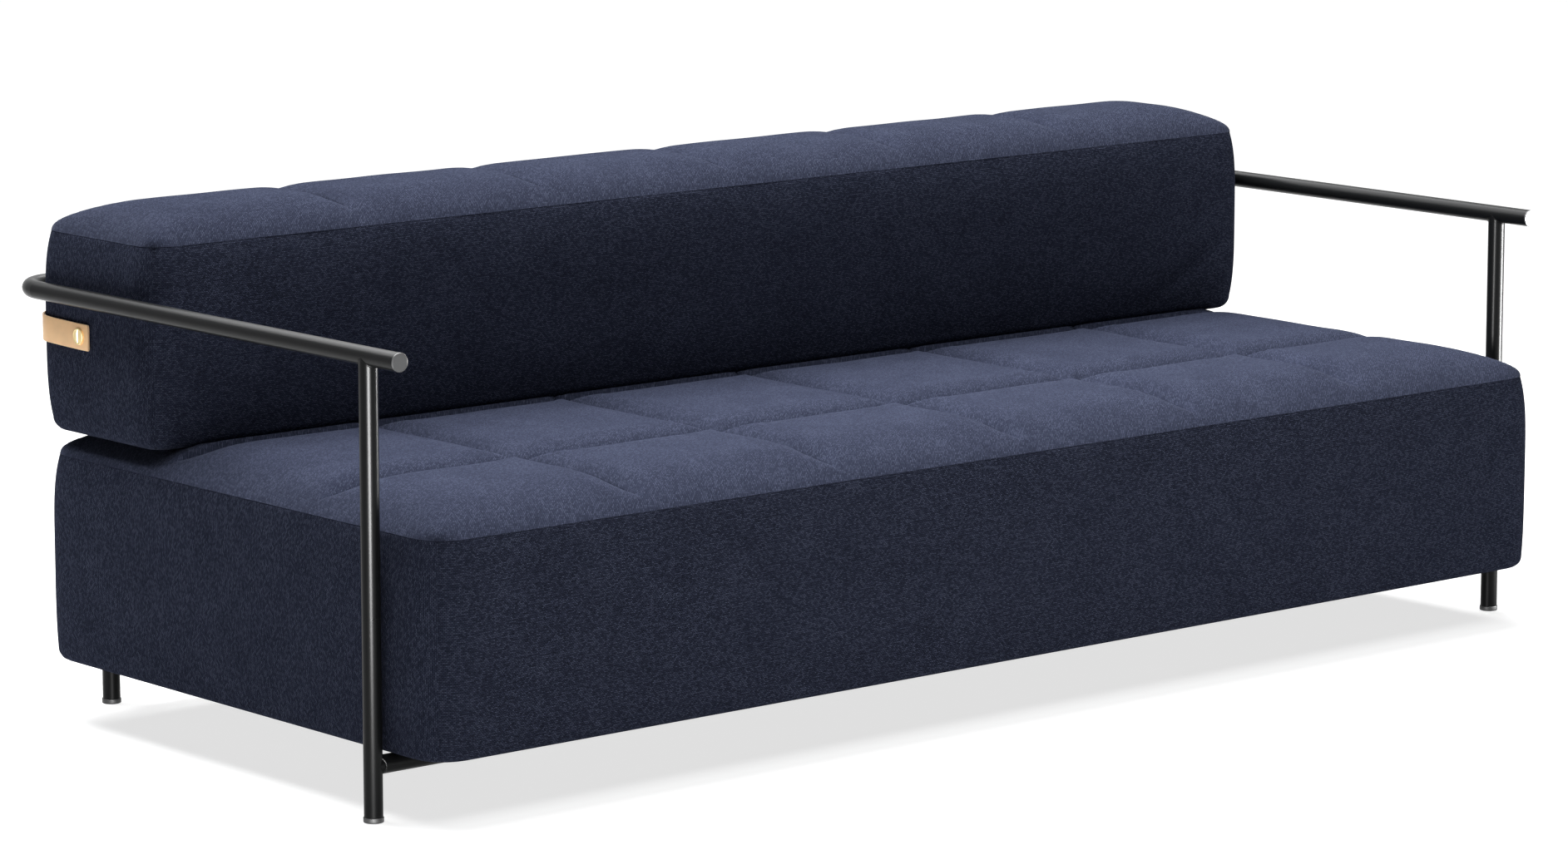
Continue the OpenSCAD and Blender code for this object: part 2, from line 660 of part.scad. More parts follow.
back_in_x = back_hx - band_t - corner_set(back_corner_r);
back_in_y = back_hy - band_t - corner_set(back_corner_r);
back_core_z = back_z + under_t + soft_gap;
back_core_top = back_seam - welt_d / 2 - soft_gap;

// foam block, cut away behind for the board
module back_core() color(FOAM) difference() {
    inner_slab(back_hx, back_hy, back_corner_r, back_cy, back_core_z, back_core_top);
    translate([-back_hx, back_cy + back_in_y - board_t - timber_gap, back_core_z - 1])
        cube([2 * back_hx, board_t + 10, back_core_top - back_core_z + 2]);
}

// upright board that keeps the back block straight
module back_board() color(WOOD)
    translate([-back_in_x, back_cy + back_in_y - board_t, back_core_z])
        cube([2 * back_in_x, board_t, board_h]);

module back_underside() color(WELT) inner_slab(back_hx, back_hy, back_corner_r, back_cy,
    back_z, back_z + under_t);

arm_tube();
arm_cap_left();
arm_cap_right();
front_post_left();
front_post_right();
rear_post_left();
rear_post_right();
front_leg_left();
front_leg_right();
rear_leg_left();
rear_leg_right();
leg_joiners();
leg_bar_left();
leg_bar_right();
bar_plugs();
side_rail_left();
side_rail_right();
cross_rail();
rear_rail();
glide_front_left();
glide_front_right();
glide_rear_left();
glide_rear_right();
strap_loop_left();
strap_loop_right();
loop_rivets();
strap_flap_left();
strap_flap_right();
strap_stud_left();
strap_stud_right();
seat_top_front();
seat_top_rear();
seat_welt();
seat_band_front();
seat_band_rear();
seat_band_left();
seat_band_right();
seat_core();
seat_slats();
seat_bearers();
seat_underside();
seat_runner_left();
seat_runner_right();
runner_screws();
back_top();
back_welt();
back_band_front();
back_band_rear();
back_band_left();
back_band_right();
back_core();
back_board();
back_underside();
stud_socket_left();
stud_socket_right();
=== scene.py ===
"""Futon sofa bed: woven covers, leather straps, metal finishes and the stage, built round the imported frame.

Metres, +X along the sofa, +Y to the rear, +Z up. The origin is on the floor under the middle of the sofa.
The frame's CAD nodes keep their places; the soft ones are replaced by sewn and quilted covers.
"""

import math
from types import SimpleNamespace

import bpy
import numpy as np
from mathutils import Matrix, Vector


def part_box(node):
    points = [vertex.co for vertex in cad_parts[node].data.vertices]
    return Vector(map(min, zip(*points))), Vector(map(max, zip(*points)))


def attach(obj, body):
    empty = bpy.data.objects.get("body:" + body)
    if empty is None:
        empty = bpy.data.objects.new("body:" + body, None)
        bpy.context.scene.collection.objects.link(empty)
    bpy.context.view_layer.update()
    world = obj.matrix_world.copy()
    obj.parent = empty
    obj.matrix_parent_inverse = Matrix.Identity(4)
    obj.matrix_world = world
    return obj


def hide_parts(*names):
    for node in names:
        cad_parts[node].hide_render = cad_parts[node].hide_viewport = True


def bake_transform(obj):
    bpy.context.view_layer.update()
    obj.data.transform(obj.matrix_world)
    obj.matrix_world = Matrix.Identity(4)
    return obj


bl_info = {
    "name": "Futon Sofa Bed",
    "version": (1, 0, 0),
    "blender": (4, 5, 0),
    "location": "View3D > Sidebar > Sofa Bed",
    "description": "Covers, straps, metal finishes and stage for the futon sofa bed",
    "category": "Object",
}

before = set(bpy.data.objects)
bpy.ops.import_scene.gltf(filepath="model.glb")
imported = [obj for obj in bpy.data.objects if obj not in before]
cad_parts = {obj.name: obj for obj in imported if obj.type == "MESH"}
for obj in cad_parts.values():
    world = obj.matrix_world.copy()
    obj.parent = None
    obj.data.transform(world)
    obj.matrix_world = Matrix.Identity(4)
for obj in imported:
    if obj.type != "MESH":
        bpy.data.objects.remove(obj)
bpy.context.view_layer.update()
MM = 0.001
SIDES = (("left", -1), ("right", 1))  # with the sign of x
FACINGS = (("front", -90), ("right", 0), ("rear", 90), ("left", 180))  # with the way faced, in degrees
TOPS = {"seat": ("seat_top_front", "seat_top_rear"), "back": ("back_top",)}
TUBES = ("arm_tube", "front_", "rear_", "leg_bar", "side_rail", "cross_rail")  # starts of node names
BIAS = math.radians(38)  # turn of the weave on the quilted tops
STRAP_GAP = 0.3 * MM  # between a strap and what it lies against
STRAP_TURN = 45.5 * MM  # inner radius of a strap's turn round the back block's corner


def linear(hex_colour):
    """Turns an sRGB hex value into linear red, green and blue."""
    srgb = [int(hex_colour[k : k + 2], 16) / 255 for k in (1, 3, 5)]
    return tuple(c / 12.92 if c <= 0.04045 else ((c + 0.055) / 1.055) ** 2.4 for c in srgb)


def opaque(colour, share=1.0):
    """A colour as four numbers for a node's socket, made darker or lighter by a share."""
    return (*(min(1.0, c * share) for c in tuple(colour)[:3]), 1.0)


def span(*nodes):
    """Lowest and highest corner over several CAD nodes."""
    boxes = [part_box(node) for node in nodes]
    return np.min([b[0] for b in boxes], axis=0), np.max([b[1] for b in boxes], axis=0)


# ---------- sizes and colours that a user would change ----------


def length(name, text, default_mm, low_mm=0.0, high_mm=1000.0):
    """A length property whose default is given in millimetres."""
    return bpy.props.FloatProperty(
        name=name,
        description=text,
        default=default_mm * MM,
        min=low_mm * MM,
        max=high_mm * MM,
        precision=4,
        subtype="DISTANCE",
        unit="LENGTH",
    )


def power(name, text, watts):
    """A property for a lamp's power."""
    return bpy.props.FloatProperty(name=name, description=text, default=watts, min=0.0, subtype="POWER")


def colour(name, text, hex_colour):
    """A colour property whose default is given as an sRGB hex value."""
    return bpy.props.FloatVectorProperty(
        name=name, description=text, default=linear(hex_colour), min=0.0, max=1.0, subtype="COLOR"
    )


class SofaCovers(bpy.types.PropertyGroup):
    """Sizes and colours of the two upholstered blocks."""

    seat_corner: length("Seat Corner", "Plan radius of the seat block's corners", 58)
    seat_edge: length("Seat Edge", "Radius of the seat block's lower edge", 15)
    seat_tuck: length("Seat Tuck", "How far the seat's bands draw in at their lower edge", 2.5)
    seat_crown_run: length("Seat Crown Run", "Distance over which the seat's top rises", 150)
    seat_crease: length("Seat Crease", "Depth of the hollow along a seat quilting line", 19)
    back_corner: length("Back Corner", "Plan radius of the back block's corners", 45)
    back_edge: length("Back Edge", "Radius of the back block's lower edge", 20)
    back_tuck: length("Back Tuck", "How far the back's bands draw in at their lower edge", 7)
    back_crown_run: length("Back Crown Run", "Distance over which the back's top rises", 120)
    back_crease: length("Back Crease", "Depth of the hollow along a back quilting line", 11)
    end_pillow: length("End Pillow", "Length of the pillow at each end", 360)
    front_row: length("Front Row", "Depth of the seat's front row of pillows", 285)
    rear_row: length("Rear Row", "Depth of the row that the back stands on", 278)
    hollow: length("Hollow", "How far the hollow beside a quilting line reaches", 52)
    rear_hollow: length("Rear Hollow", "How far the hollow reaches into the rear row", 13)
    stitch_groove: length("Stitch Groove", "Depth of the pulled-in stitched line itself", 5)
    bulge: length("Bulge", "How far the side bands draw in at the top seam", 10)
    wall: length("Wall", "Depth of a side band with its edge wadding", 38)
    seam_dip: length("Seam Dip", "How far a sewn seam pulls in", 2.2)
    plump: length("Plump", "How far the wadding may push a quilted top out", 0.8)
    pressure: bpy.props.FloatProperty(
        name="Pressure", description="Air pressure that plumps the tops", default=3.0, min=0.0, max=20.0
    )
    weave_row: length("Weave Row", "Pitch of the weave's rows", 2.0)
    weave_stitch: length("Weave Stitch", "Length over which a yarn shows before it dives", 3.8)
    yarn_dark: colour("Dark Yarn", "Black-blue ply of the yarn", "#0b0c10")
    yarn_blue: colour("Blue Yarn", "Ink-blue ply of the yarn", "#303444")
    yarn_pale: colour("Pale Yarn", "Grey-blue hairs in the yarn", "#595f73")


class SofaMetal(bpy.types.PropertyGroup):
    """Sizes and colours of the frame's finishes and fittings."""

    weld: length("Weld", "Leg of the fillet weld round a coped joint", 1.8)
    coat: colour("Powder Coat", "Satin black powder coat", "#151617")
    cap: colour("End Cap", "Turned steel end cap under a thin coat", "#38393b")
    brass: colour("Brass", "Lacquered brass", "#c6b283")
    plastic: colour("Glide", "Black polyamide", "#17181a")


class SofaStraps(bpy.types.PropertyGroup):
    """Sizes and colours of the leather straps."""

    edge: length("Edge", "Rounding on the strap's cut edges", 0.7)
    droop: length("Droop", "How far the free end hangs below the riveted end", 3)
    tan: colour("Tan", "Grain side of vegetable-tanned leather", "#f0c28d")
    cut: colour("Cut Edge", "Cut edge of the leather", "#e8c39c")


class SofaStage(bpy.types.PropertyGroup):
    """Floor, lamps and world."""

    floor: length("Floor", "Half width of the floor", 30000, 1000, 90000)
    key: power("Key", "Power of the overhead softbox", 237.0)
    rear: power("Rear", "Power of the rear softbox", 150.0)
    front: power("Front", "Power of the front softbox", 45.0)
    card: power("Card", "Power of the low cards that only gloss shows", 190.0)
    bounce: power("Bounce", "Power of the lamp over the floor in front", 28.0)
    fill: bpy.props.FloatProperty(
        name="Fill", description="Strength of the white surroundings", default=0.01, min=0.0
    )


# ---------- meshes ----------


def skin(name, grid, wrap_u=False, wrap_v=False, u=None, v=None, turned=False, sharp=50):
    """Skin over a grid of points, as one object.

    A face joins points (i, j), (i+1, j), (i+1, j+1), (i, j+1). wrap_u and wrap_v join the last row or
    column to the first, and a tube's open ends get a cap. u and v are lengths along the two ways of the
    grid, in metres, for the UV map that the weave follows; turned swaps them.
    """
    nu, nv = grid.shape[:2]
    i, j = np.meshgrid(
        np.arange(nu if wrap_u else nu - 1), np.arange(nv if wrap_v else nv - 1), indexing="ij"
    )
    steps = ((0, 0), (1, 0), (1, 1), (0, 1))
    faces = np.stack([((i + a) % nu) * nv + (j + b) % nv for a, b in steps], -1).reshape(-1, 4)
    polygons = faces.tolist()
    if wrap_v and not wrap_u:
        polygons += [list(range(nv))[::-1], list(range((nu - 1) * nv, nu * nv))]
    mesh = bpy.data.meshes.new(name)
    mesh.from_pydata(grid.reshape(-1, 3).tolist(), [], polygons)
    u = along(grid, 0, wrap_u) if u is None else np.asarray(u, float)
    v = along(grid, 1, wrap_v) if v is None else np.asarray(v, float)
    pairs = np.stack([np.stack([u[i + a], v[j + b]], -1) for a, b in steps], -2).reshape(-1, 2)
    uv = np.zeros((len(mesh.loops), 2))
    uv[: len(pairs)] = pairs
    if turned:
        uv = uv[:, ::-1]
    mesh.uv_layers.new(name="weave").uv.foreach_set("vector", uv.ravel())
    return place(name, mesh, sharp)


def along(grid, way, wrap):
    """Running length down the middle line of a grid, one value per row or column and one more if it wraps."""
    line = grid[:, grid.shape[1] // 2] if way == 0 else grid[grid.shape[0] // 2]
    if wrap:
        line = np.concatenate([line, line[:1]])
    return running(line)


def running(line):
    """Running length along a line of points, 0 at its first point."""
    return np.concatenate([[0], np.cumsum(np.linalg.norm(np.diff(line, axis=0), axis=1))])


def respaced(line, want):
    """Points of a plan line at the wanted running lengths."""
    return np.stack([np.interp(want, running(line), line[:, k]) for k in (0, 1)], -1)


def place(name, mesh, sharp=50):
    """Links a mesh as an object, with its faces outwards and smooth up to an angle in degrees."""
    mesh.validate()
    corners = np.empty(len(mesh.vertices) * 3)
    mesh.vertices.foreach_get("co", corners)
    corners = corners.reshape(-1, 3)
    mesh.calc_loop_triangles()
    triangles = np.empty(len(mesh.loop_triangles) * 3, np.int32)
    mesh.loop_triangles.foreach_get("vertices", triangles)
    a, b, c = (corners[triangles.reshape(-1, 3)[:, k]] - corners.mean(0) for k in range(3))
    if np.einsum("ij,ij->i", a, np.cross(b, c)).sum() < 0:
        mesh.flip_normals()
    mesh.shade_smooth()
    mesh.set_sharp_from_angle(angle=math.radians(sharp))
    piece = bpy.data.objects.new(name, mesh)
    bpy.context.scene.collection.objects.link(piece)
    return piece


def dress(piece, body, material, slot, *nodes):
    """Gives a piece its material, the body it rides on and the CAD nodes it stands for, which it hides; slot
    is not used.
    """
    piece.data.materials.append(material)
    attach(piece, body)
    if nodes:
        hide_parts(*nodes)
    return piece


def stations(marks, step, gather=0.86):
    """Numbers from the first mark to the last, about step apart and gathered closer at each mark.

    Between two marks the running share s becomes s - gather * sin(2 pi s) / (2 pi).
    """
    parts = []
    for a, b in zip(marks[:-1], marks[1:]):
        s = np.linspace(0, 1, max(2, round((b - a) / step)) + 1)[:-1]
        parts.append(a + (b - a) * (s - gather * np.sin(2 * np.pi * s) / (2 * np.pi)))
    return np.concatenate(parts + [[marks[-1]]])


def smooth(x, low, high):
    """Eases from 0 at low to 1 at high."""
    t = np.clip((x - low) / (high - low), 0, 1)
    return t * t * (3 - 2 * t)


def ripple(x, y, size, seed, waves=9):
    """Gentle unevenness between about -1 and 1: a sum of seeded sine waves about size long."""
    rng = np.random.default_rng(seed)
    total = np.zeros(np.broadcast(x, y).shape)
    for turn, pace, phase in zip(*rng.uniform((0, 0.6, 0), (np.pi, 1.6, 2 * np.pi), (waves, 3)).T):
        total += np.sin((x * np.cos(turn) + y * np.sin(turn)) * 2 * np.pi * pace / size + phase)
    return total / math.sqrt(2 * waves)


# ---------- upholstered blocks ----------


def block(prefix, props):
    """Sizes of an upholstered block, read from its CAD bands and top."""
    low, high = span(*(f"{prefix}_band_{side}" for side, _ in FACINGS))
    top_low, top_high = span(*TOPS[prefix])
    corner, edge, tuck = (getattr(props, f"{prefix}_{size}") for size in ("corner", "edge", "tuck"))
    hx, hy = (high[0] - low[0]) / 2, (high[1] - low[1]) / 2
    return SimpleNamespace(
        prefix=prefix,
        hx=hx,
        hy=hy,
        cy=(high[1] + low[1]) / 2,
        bottom=low[2],
        seam=(high[2] + top_low[2]) / 2,
        top=top_high[2],
        corner=corner,
        edge=edge,
        tuck=tuck,
        half_x=hx - props.bulge,
        half_y=hy - props.bulge,
        round=corner - props.bulge,
    )


def quilting_lines(props):
    """Places of the five quilting lines that cross the seat and run on over the back."""
    half = block("seat", props).hx
    pitch = (2 * half - 2 * props.end_pillow) / 4
    return [-half + props.end_pillow + k * pitch for k in range(5)]


def rounded_rectangle(x, y, hx, hy, r):
    """Moves points of a rectangle into one with round corners.

    In each corner square of side r, shares p and q from 0 to 1 become p * sqrt(1 - q*q/2) and
    q * sqrt(1 - p*p/2), which turns the square's outer edges into the quarter circle.
    """
    p = np.clip((np.abs(x) - hx + r) / r, 0, 1)
    q = np.clip((np.abs(y) - hy + r) / r, 0, 1)
    new_x = np.where(p > 0, hx - r + r * p * np.sqrt(1 - q * q / 2), np.abs(x))
    new_y = np.where(q > 0, hy - r + r * q * np.sqrt(1 - p * p / 2), np.abs(y))
    return np.sign(x) * new_x, np.sign(y) * new_y


def pillow_top(x, y, b, crown_run, dip, groove, lines_x, lines_y, seed, pressed=10.0):
    """Height of the quilted top above the seam, for flat points x and y about the block's middle.

    Crown: with the two edges' rises p and q, each 1 - (1 - e/run)^2.2, it is the full height times p * q
    over the cube root of the mean of their cubes. A small roll stands up just inside the seam:
    roll * (1 - exp(-distance / 7 mm)). Each quilting line, given as its place and its reach to either side,
    takes away a soft hollow, dip * (1 - d/reach)^3, and a narrow groove, groove * exp(-(d / 2 mm)^2), both
    fading near the seam. Behind pressed, where something rests on the top, the lines across it fade out.
    """
    ex, ey = b.half_x - np.abs(x), b.half_y - np.abs(y)
    inside = np.minimum(ex, ey)
    p, q = (1 - (1 - np.clip(e / crown_run, 0, 1)) ** 2.2 for e in (ex, ey))
    roll, roll_width, stitch_width = 3 * MM, 7 * MM, 2 * MM
    crown = (b.top - b.seam - roll) * p * q / np.maximum(np.cbrt((p**3 + q**3) / 2), 1e-9)
    crown = crown + roll * (1 - np.exp(-inside / roll_width))
    open_row = 1 - smooth(y, pressed, pressed + 12 * MM)
    away = [(x - line, low, high, open_row) for line, low, high in lines_x]
    away += [(y - line, low, high, 1.0) for line, low, high in lines_y]
    hollow = []
    for d, low, high, share in away:
        hollow.append(share * np.clip(1 - np.abs(d) / np.where(d < 0, low, high), 0, 1) ** 3)
    stitch = [share * np.exp(-((d / stitch_width) ** 2)) for d, _, _, share in away]
    dips = dip * np.max(hollow, axis=0) + groove * np.max(stitch, axis=0)
    fade = smooth(inside, 12 * MM, 75 * MM)
    unevenness = 0.4 * MM * smooth(inside, 0, 60 * MM) * ripple(x, y, 160 * MM, seed)
    return crown - fade * dips + unevenness


def quads(nx, ny):
    """Index of each point of a grid, and the faces between the points."""
    index = np.arange(nx * ny).reshape(nx, ny)
    corners = (index[:-1, :-1], index[1:, :-1], index[1:, 1:], index[:-1, 1:])
    return index, np.stack(corners, -1).reshape(-1, 4).tolist()


def closed_panel(grid, rings):
    """Points and faces of a solid under a grid of points, and the rim point that each ring point is under.

    Each ring repeats the grid's rim, drawn in by its inset and laid at its height; the last one is closed
    by strips from the front side to the rear side and one face at each end.
    """
    nx, ny = grid.shape[:2]
    index, faces = quads(nx, ny)
    rim = np.concatenate([index[:, 0], index[-1, 1:], index[-2::-1, -1], index[0, -2:0:-1]])
    points = grid.reshape(-1, 3)
    edge = points[rim]
    way = np.roll(edge, -1, 0) - np.roll(edge, 1, 0)
    out = np.stack([way[:, 1], -way[:, 0]], -1)
    out /= np.linalg.norm(out, axis=1, keepdims=True)
    below = []
    for inset, height in rings:
        below.append(np.column_stack([edge[:, :2] - out * inset, np.full(len(rim), height)]))
    n, k = len(rim), np.arange(len(rim))
    loops = [rim] + [nx * ny + level * n + k for level in range(len(rings))]
    for upper, lower in zip(loops[:-1], loops[1:]):
        faces += np.stack([np.roll(upper, -1), upper, lower, np.roll(lower, -1)], -1).tolist()
    base = loops[-1]
    front, rear = base[:nx], base[nx + ny - 2 : 2 * nx + ny - 2][::-1]
    faces += np.stack([front[:-1], rear[:-1], rear[1:], front[1:]], -1).tolist()
    faces.append(base[nx - 1 : nx + ny - 1].tolist())
    faces.append([*base[2 * nx + ny - 3 :], base[0]])
    return np.concatenate([points, *below]), faces, np.tile(rim, len(rings))


def panel_piece(name, grid, rings, flat):
    """A closed panel as an object; flat gives each grid point's place on the uncut cloth, for its UV map."""
    points, faces, under = closed_panel(grid, rings)
    mesh = bpy.data.meshes.new(name)
    mesh.from_pydata(points.tolist(), [], faces)
    vertices = np.empty(len(mesh.loops), np.int32)
    mesh.loops.foreach_get("vertex_index", vertices)
    cloth = flat.reshape(-1, 2)
    cloth = np.concatenate([cloth, cloth[under]])
    mesh.uv_layers.new(name="weave").uv.foreach_set("vector", cloth[vertices].ravel())
    return place(name, mesh, 60)


def plump(grid, held, pressure, limit, frames=20):
    """Blows up a quilted grid as cloth that is sewn down where held is true, and returns the new grid.

    Blender's cloth gets air pressure from below and no gravity. No point moves further than limit, and
    points on the stitches and at the seam stay.
    """
    _, faces = quads(*grid.shape[:2])
    mesh = bpy.data.meshes.new("plump")
    mesh.from_pydata(grid.reshape(-1, 3).tolist(), [], faces)
    cover = bpy.data.objects.new("plump", mesh)
    bpy.context.scene.collection.objects.link(cover)
    cover.vertex_groups.new(name="sewn").add(np.flatnonzero(held.ravel()).tolist(), 1.0, "REPLACE")
    cloth = cover.modifiers.new("cloth", "CLOTH")
    settings = cloth.settings
    settings.quality = 5
    settings.mass = 0.3
    settings.tension_stiffness = settings.compression_stiffness = 20.0
    settings.shear_stiffness = 8.0
    settings.bending_stiffness = 1.5
    settings.air_damping = 4.0
    settings.vertex_group_mass = "sewn"
    settings.use_pressure = True
    settings.uniform_pressure_force = pressure
    settings.effector_weights.gravity = 0.0
    cloth.point_cache.frame_end = frames
    for number in range(1, frames + 1):
        bpy.context.scene.frame_set(number)
    done = cover.evaluated_get(bpy.context.evaluated_depsgraph_get()).to_mesh()
    moved = np.empty(grid.size)
    done.vertices.foreach_get("co", moved)
    bpy.data.objects.remove(cover)
    bpy.context.scene.frame_set(1)
    step = moved.reshape(grid.shape) - grid
    size = np.linalg.norm(step, axis=-1, keepdims=True)
    return grid + step * np.minimum(1, limit / np.maximum(size, 1e-9))


def quilted_cover(name, b, height_of, marks_x, marks_y, step, props, ceiling=None):
    """Quilted top panel as a closed piece: the pillowed grid, an inturned lip at the seam and a flat base.

    The marks are the panel's edges and quilting lines. ceiling gives the greatest height above the seam at
    a flat point, where something rests on the top. The lip is 0.5 mm * exp(-distance from the edge / 2 mm).
    """
    x0, y0 = np.meshgrid(stations(marks_x, step), stations(marks_y, step), indexing="ij")
    x, y = rounded_rectangle(x0, y0, b.half_x, b.half_y, b.round)
    edge = np.minimum(b.half_x - np.abs(x0), b.half_y - np.abs(y0))
    lip = 0.5 * MM
    grid = np.stack([x, y + b.cy, b.seam + height_of(x0, y0) + lip * np.exp(-edge / (2 * MM))], -1)
    stitched = 4 * MM
    sewn = edge < stitched
    for way, marks in ((x0, marks_x), (y0, marks_y)):
        for line in marks[1:-1]:
            sewn |= (np.abs(way - line) < stitched) & (edge > 40 * MM)
    grid = plump(grid, sewn, props.pressure, props.plump)
    if ceiling is not None:
        grid[..., 2] = np.minimum(grid[..., 2], b.seam + ceiling(x0, y0))
    rings = ((0.2 * MM, b.seam + lip * 0.6), (2.6 * MM, b.seam + lip * 0.4))
    cos_b, sin_b = math.cos(BIAS), math.sin(BIAS)
    return panel_piece(name, grid, rings, np.stack([x0 * cos_b + y0 * sin_b, y0 * cos_b - x0 * sin_b], -1))


def dust_cloth(name, b, props, seed):
    """Cloth stapled under a block: a thin flat panel with a faint sag and puckers, just inside the bands."""
    hx, hy = b.hx - props.wall - 0.3 * MM, b.hy - props.wall - 0.3 * MM
    x0, y0 = np.meshgrid(stations([-hx, hx], 25 * MM), stations([-hy, hy], 25 * MM), indexing="ij")
    x, y = rounded_rectangle(x0, y0, hx, hy, 8 * MM)
    edge = np.minimum(hx - np.abs(x0), hy - np.abs(y0))
    sag = 0.25 * MM * smooth(edge, 0, 50 * MM) * ripple(x0, y0, 110 * MM, seed)
    top = b.bottom + 1.6 * MM
    grid = np.stack([x, y + b.cy, top + sag], -1)
    return panel_piece(name, grid, ((0.0, top - 0.8 * MM),), np.stack([x0, y0], -1)), (2 * hx, 2 * hy)


def band_path(b, facing):
    """Plan line of one side band, from the middle of one corner to the middle of the next.

    Returns points on the block's widest outline, the outward direction at each, and the length run.
    The band faces -90 front, 0 right, 90 rear or 180 left, in degrees.
    """
    r = b.corner
    turn = np.radians(np.concatenate([np.linspace(-45, 0, 9), np.linspace(0, 45, 9)]))
    face = math.radians(facing)
    sign = np.concatenate([-np.ones(9), np.ones(9)])
    cos_f, sin_f = round(math.cos(face)), round(math.sin(face))
    centre_x = cos_f * (b.hx - r) - sin_f * sign * (b.hx - r)
    centre_y = sin_f * (b.hy - r) + cos_f * sign * (b.hy - r)
    out = np.stack([np.cos(face + turn), np.sin(face + turn)], -1)
    line = np.stack([centre_x, centre_y + b.cy], -1) + r * out
    run = running(line)
    total = run[-1]
    seam = 12 * MM
    want = stations([0, seam, run[8], total / 2, run[9], total - seam, total], 14 * MM, 0.3)
    line = respaced(line, want)
    angle = np.interp(want, run, turn) + face
    return line, np.stack([np.cos(angle), np.sin(angle)], -1), want


def side_cover(name, b, facing, props, seed, extra=None):
    """One side band: its swelling section carried along the plan line, closed at its inner face.

    Inset from the widest outline: bulge * (2t - 1)^4 in the upper half of the band and tuck * (1 - 2t)^4 in
    the lower half, a quarter circle at the lower edge, and a small inturn at the top seam. Both ends pull in
    by the seam's dip. extra(run, z) adds a form of its own.
    """
    line, out, run = band_path(b, facing)
    low, high = b.bottom, b.seam - 0.2 * MM
    under = np.radians(np.linspace(90, 0, 9))
    t = np.concatenate([stations([0.0, 1.0], 0.035, 0.55)[1:-3], [0.985, 0.995]])
    straight = high - low - b.edge
    inset = np.concatenate(
        [
            b.tuck + b.edge * (1 - np.cos(under)),
            np.where(t > 0.5, props.bulge, b.tuck) * (2 * t - 1) ** 4,
            [props.bulge + 0.1 * MM, props.bulge + 1.2 * MM, props.wall, props.wall],
        ]
    )
    z = np.concatenate(
        [
            low + b.edge * (1 - np.sin(under)),
            low + b.edge + straight * t,
            [high - 0.3 * MM, high, high, low],
        ]
    )
    skin_points = len(under) + len(t)
    end = np.minimum(run, run[-1] - run)
    pull = props.seam_dip * np.exp(-((end / (3.5 * MM)) ** 1.5))
    shape = np.zeros(len(z))
    shape[:skin_points] = smooth(z[:skin_points], low, low + 30 * MM)
    swell = 0.7 * MM * ripple(run[:, None], z[None, :], 190 * MM, seed) * smooth(end, 0, 80 * MM)[:, None]
    if extra is not None:
        swell = swell + extra(run[:, None], z[None, :])
    depth = inset[None, :] + pull[:, None] * (np.arange(len(z)) < skin_points + 2) - swell * shape[None, :]
    plan = line[:, None, :] - out[:, None, :] * depth[..., None]
    grid = np.concatenate([plan, np.broadcast_to(z[None, :, None], depth.shape + (1,))], -1)
    height = np.concatenate([[0], np.cumsum(np.hypot(np.diff(inset), np.diff(z)))])
    height = np.append(height, height[-1] + abs(inset[0] - inset[-1]))
    return skin(name, grid, wrap_v=True, u=run, v=height, turned=facing in (0, 180))


def seam_cord(name, b, props):
    """Thin sewn cord that lies in the groove between top and bands: a circle carried round the plan."""
    radius, inset = 0.6 * MM, props.bulge + 0.4 * MM
    lines = [band_path(b, facing) for facing in (-90, 0, 90, 180)]
    line = np.concatenate([part[0][:-1] for part in lines])
    out = np.concatenate([part[1][:-1] for part in lines])
    around = np.linspace(0, 2 * np.pi, 8, endpoint=False)
    depth = inset - radius * np.cos(around)
    plan = line[:, None, :] - out[:, None, :] * depth[None, :, None]
    z = np.broadcast_to((b.seam + radius * np.sin(around))[None, :, None], plan.shape[:2] + (1,))
    return skin(name, np.concatenate([plan, z], -1), wrap_u=True, wrap_v=True)


def sew_block(b, props, height, rows, step, cloths, seeds, fold=None, ceiling=None):
    """Sews a block's cover: quilted top, four side bands, a cord in the top seam and the cloth underneath.

    rows are the places of the quilting lines that run along the block. cloths are those of the bands, the
    top, the cord and the underside, and seeds those of the first band and the underside.
    """
    name = b.prefix
    band_cloth, top_cloth, cord_cloth, lining = cloths
    marks_x = [-b.half_x, *quilting_lines(props), b.half_x]
    marks_y = [-b.half_y, *rows, b.half_y]
    top = quilted_cover(f"{name}_quilt", b, height, marks_x, marks_y, step, props, ceiling)
    dress(top, name, top_cloth, "navy_fabric", *TOPS[name])
    for number, (side, facing) in enumerate(FACINGS):
        extra = fold if side == "front" else None
        band = side_cover(f"{name}_side_{side}", b, facing, props, seeds[0] + number, extra)
        dress(band, name, band_cloth, "navy_fabric", f"{name}_band_{side}")
    cord = seam_cord(f"{name}_seam_cord", b, props)
    dress(cord, name, cord_cloth, "welt_fabric", f"{name}_welt")
    under, cut = dust_cloth(f"{name}_dust_cloth", b, props, seeds[1])
    dress(under, name, lining, "under_cloth", f"{name}_underside")


# ---------- metal and leather pieces ----------


# outlines of the turned pieces, as (radius, height) in millimetres
GLIDE_PROFILE = (
    (1, 0), (12.2, 0), (13.2, 0.5), (13.5, 1.4), (13.5, 4.6), (13.25, 4.8), (13.25, 5.1),
    (13.5, 5.3), (13.5, 6.4), (13.1, 6.85), (10, 6.85), (10, 20), (1, 20),
)
CAP_PROFILE = (
    (1, 14), (10, 14), (10, 0), (12.5, 0), (12.5, -1.3),
    (12.3, -1.8), (11.9, -2.0), (11.3, -2.0), (11.1, -1.8), (1, -1.8),
)


